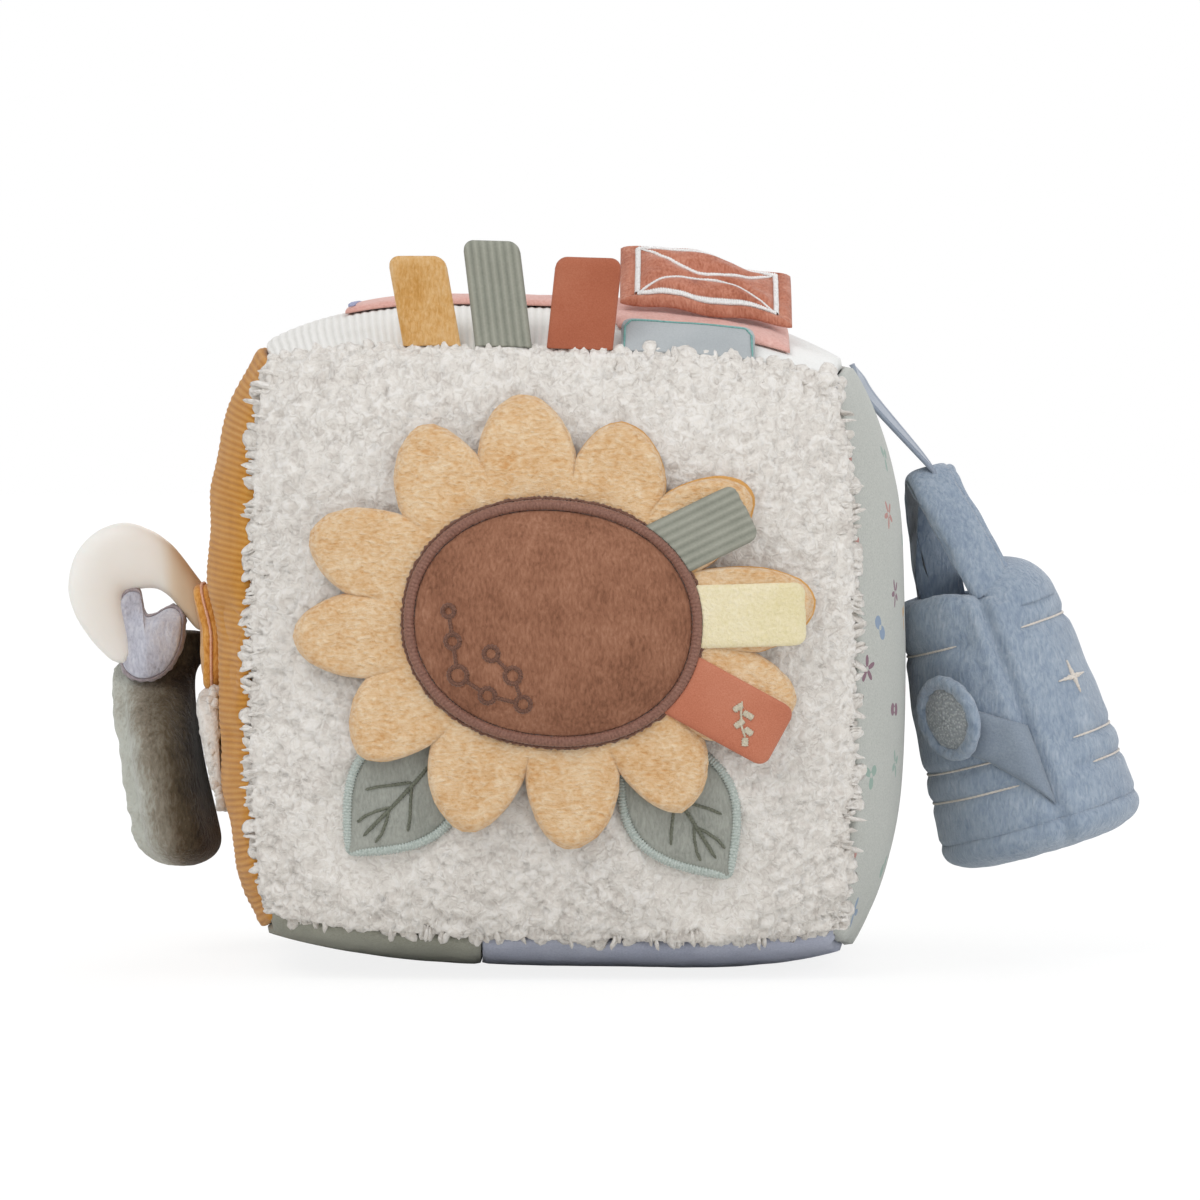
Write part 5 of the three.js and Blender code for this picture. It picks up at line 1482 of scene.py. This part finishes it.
def long_pad_point(a, b):
    share, turn = (b + 1) / 2, pi * a
    foot = sqrt(max(1 - max((share - FOOT_START) / (1 - FOOT_START), 0) ** 2.6, 0))
    top = sqrt(max(1 - max((TOP_END - share) / TOP_END, 0) ** 2, 0))
    off_lip = abs((turn - LIP_TURN + pi) % (2 * pi) - pi)
    ruffle = wobble(share * 15, turn * 0.8, 3) + 0.4 * wobble(share * 40, turn, 8)
    whole = 1 + 0.07 * bump_at(off_lip, 0, 0.1) * (1 + 1.3 * ruffle)
    whole -= 0.075 * bump_at(off_lip, 0.27, 0.12)
    whole += 0.07 * wobble(share * 20, 5, 1) * bump_at(off_lip, 0, 0.6)
    whole += 0.08 * wobble(share * 2.2, cos(turn) * 2.4, sin(turn) * 2.4)
    whole *= foot * top
    wide = mix(3.2, LONG_PAD_DEPTH / 2, smooth(0.34, 0.6, share)) * whole
    thick = mix(8.5, LONG_PAD_WIDTH / 2, smooth(0, 0.2, share)) * whole
    spot = along_curve(long_pad_line, share)[0]
    return spot + Vector((thick * sin(turn), wide * cos(turn), 0))


# Its colours run from near black to pale sage: painted light on the side facing the lamps and painted
# shade on the side toward the cube.
sage_plush = plush(
    "sage_plush",
    ["#281F18", "#5B5242", "#8E887B", "#BEC0B7"],
    pile=0.8,
    patch=10,
    nap=(1, 1, 0.4),
    relief=0.8,
    painted_light_at=0.26,
)
long_pad = wrapped(150, 150, long_pad_point)
long_pad = made("long_pad_cloth", long_pad, sage_plush, "sage_plush", ["toy_dangle"], None, fill=0.7)
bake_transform(long_pad)

# Fleece patch
# A patch of the same curly pile as the front, sewn on the left side where the long pad rests.
FLEECE_THICK = 3.9
FLEECE_MIDDLE = 52
FLEECE_HALF_HEIGHT = 15
FLEECE_HALF_WIDTH = 23.5


def fleece_point(a, b, side):
    y = a * FLEECE_HALF_WIDTH * sqrt(1 - 0.7 * abs(b) ** 4)
    z = FLEECE_MIDDLE + b * FLEECE_HALF_HEIGHT * sqrt(1 - 0.3 * abs(a) ** 4)
    pile = FLEECE_THICK * (1 + 0.5 * b) + curls((y, z, 30), 3, 0.8)
    return on_left(y, z, LAY_GAP + (pile * mix(0.3, 1, filled(a, b, 8)) if side > 0 else 0))


fleece = slab(90, 60, fleece_point)
made("fleece_pad", fleece, curly_pile, "curly_pile", ["fleece_patch"], fill=0.3)

# Curly tufts
# Locks of the pile that stand over the seams of the front and round the fleece patch: they are
# combed out of the seams after sewing, and hide the stitches.
TUFT_SIDES = 8
TUFT_SPACING = 0.015
PATCH_LOCKS = 110
PATCH_INSET = 0.88
GATHER_AT = 1500


def tuft(mesh, root, way, up, length, width, bend):
    """One lock: a bent, crumpled ball that lies along way and rises along up."""
    ball = bmesh.ops.create_uvsphere(mesh, u_segments=TUFT_SIDES, v_segments=6, radius=1)["verts"]
    side = way.cross(up).normalized()
    for point in ball:
        share = (point.co.z + 1) / 2
        half = width / 2 * (0.95 + 0.7 * point.co.z**2)
        spot = root + way * length * share + side * (point.co.x * half + bend * length * share * share)
        spot += up * point.co.y * half * 0.8
        point.co = spot + 0.3 * noise.noise_vector(spot / 1.4)


def gather(whole, part):
    """Adds a small mesh to a larger one, because an operator slows down as its mesh grows."""
    data = bpy.data.meshes.new("locks")
    part.to_mesh(data)
    part.free()
    whole.from_mesh(data)
    bpy.data.meshes.remove(data)


def seam_spot(run, place):
    """The seam place, the way over the neighbouring face, the way out, and a place on the front."""
    if run in ("left", "right"):
        u = -1 if run == "left" else 1
        here, over, inside = skin(u, -1, place), skin(u, -0.9, place), skin(u * 0.95, -1, place)
    else:
        w = -1 + HEM_RISE if run == "bottom" else 1
        here, over, inside = skin(place, -1, w), skin(place, -0.9, w), skin(place, -1, w * 0.95)
    return here, (over - here).normalized(), (here - inside).normalized(), inside


rng = random.Random(7)
seam_tufts = bmesh.new()
for run in ("left", "right", "top", "bottom"):
    place = -1 if run in ("top", "bottom") else HEM_RISE - 1
    locks = bmesh.new()
    while place < 1:
        here, over, outward, inside = seam_spot(run, place)
        clump = 0.5 + 0.9 * wobble(place * 16, len(run), 4)
        length = (2.8 + 1.9 * max(clump, 0) + 0.8 * rng.random()) * (0.75 if run == "bottom" else 1)
        length += 1.5 * smooth(0.6, 0.95, place) if run == "left" else 0
        sway = outward.cross(over).normalized() * rng.uniform(-0.6, 0.6)
        back = rng.uniform(-0.1, 0.35) if run == "top" else rng.uniform(0.1, 0.8)
        way = (over * back + outward * rng.uniform(0.7, 1.0) + sway).normalized()
        root = here.lerp(inside, rng.uniform(0.2, 1.1)) - over * 0.3
        up, bend = -over if run == "top" else outward, rng.uniform(-0.3, 0.3)
        tuft(locks, root, way, up, length, rng.uniform(3.4, 5.4), bend)
        place += TUFT_SPACING * rng.uniform(0.6, 1.1)
        if len(locks.verts) > GATHER_AT:
            gather(seam_tufts, locks)
            locks = bmesh.new()
    gather(seam_tufts, locks)
made("seam_tufts", seam_tufts, curly_pile, "curly_pile")
patch_tufts = bmesh.new()
for step in range(PATCH_LOCKS):
    angle = 2 * pi * step / PATCH_LOCKS
    across, along = cos(angle), sin(angle)
    inset = PATCH_INSET / max(abs(across), abs(along)) ** 0.75
    y = across * inset * FLEECE_HALF_WIDTH
    z = FLEECE_MIDDLE + along * inset * FLEECE_HALF_HEIGHT
    root = on_left(y, z, 1.0)
    up = (on_left(y, z, 2) - root).normalized()
    way = (on_left(y + across * 2, z + along * 2, 1.4) - root).normalized()
    way = (way + up * rng.uniform(-0.15, 0.5)).normalized()
    length, width, bend = rng.uniform(2.2, 3.4), rng.uniform(2.4, 3.6), rng.uniform(-0.3, 0.3)
    tuft(patch_tufts, root, way, up, length, width, bend)
made("patch_tufts", patch_tufts, curly_pile, "curly_pile")

# Studio
# A white sweep under soft, even light, with the camera square to the flower face.
CAMERA_AIM = Vector((0.0108, 0, 0.0883))
CAMERA_DISTANCE = 1.65
CAMERA_TURN = radians(0.5)
CAMERA_RISE = radians(2)
LAMP_AIM = Vector((0, 0, 0.08))
LAMPS = [
    ("key", (-0.8, -1.2, 1.5), 1.2, 13),
    ("fill", (1.4, -0.9, 0.8), 1.2, 7),
    ("back", (0.3, 1.4, 1.1), 1.0, 8),
]


def placed(name, data, place, aim=None):
    """A lamp, camera or floor set at a place, and turned to face its aim where it has one."""
    thing = bpy.data.objects.new(name, data)
    thing.location = place
    if aim:
        thing.rotation_euler = (aim - thing.location).to_track_quat("-Z", "Y").to_euler()
    bpy.context.scene.collection.objects.link(thing)
    return thing


lens = bpy.data.cameras.new("camera")
lens.lens = 198
lens.sensor_width = 36
away_x, away_y = sin(CAMERA_TURN), -cos(CAMERA_TURN)
away = Vector((away_x * cos(CAMERA_RISE), away_y * cos(CAMERA_RISE), sin(CAMERA_RISE)))
camera = placed("camera", lens, CAMERA_AIM + away * CAMERA_DISTANCE, CAMERA_AIM)
bpy.context.scene.camera = camera
for name, spot, size, power in LAMPS:
    light = bpy.data.lights.new(name, "AREA")
    light.size = size
    light.energy = power
    placed(name, light, spot, LAMP_AIM)

paper, tree, sheet_white, place = shader("white_paper", 0.9, 0.0, 0.5)
sheet_white.inputs["Base Color"].default_value = linear("#F2F2F0")
glow = add(tree, "Emission", {"Color": linear("#FFFFFF"), "Strength": 1.06})
rays = add(tree, "LightPath").outputs["Is Camera Ray"]
far = add(tree, "VectorMath", {0: place["Object"]}, operation="LENGTH").outputs["Value"]
fade = {"Value": far, "From Min": 0.15, "From Max": 0.8, "To Min": 0.8, "To Max": 1.0}
seen = maths(tree, "MULTIPLY", rays, add(tree, "MapRange", fade).outputs["Result"])
blend = add(tree, "MixShader", {0: seen, 1: sheet_white.outputs[0], 2: glow.outputs[0]})
tree.links.new(blend.outputs[0], tree.nodes["Material Output"].inputs["Surface"])
floor_mesh = bmesh.new()
bmesh.ops.create_grid(floor_mesh, x_segments=1, y_segments=1, size=6)
floor_data = bpy.data.meshes.new("floor")
floor_mesh.to_mesh(floor_data)
floor_mesh.free()
floor_data.materials.append(paper)
placed("floor", floor_data, (0, 0, -0.0005))

world = bpy.data.worlds.new("studio")
world.use_nodes = True
sky = world.node_tree
day = sky.nodes["Background"]
day.inputs["Color"].default_value = linear("#F4F5F7")
day.inputs["Strength"].default_value = 0.72
white = add(sky, "Background", {"Color": linear("#FFFFFF"), "Strength": 1})
rays = add(sky, "LightPath").outputs["Is Camera Ray"]
choice = add(sky, "MixShader", {0: rays, 1: day.outputs[0], 2: white.outputs[0]})
sky.links.new(choice.outputs[0], sky.nodes["World Output"].inputs["Surface"])
bpy.context.scene.world = world
bpy.context.scene.view_settings.view_transform = "Standard"
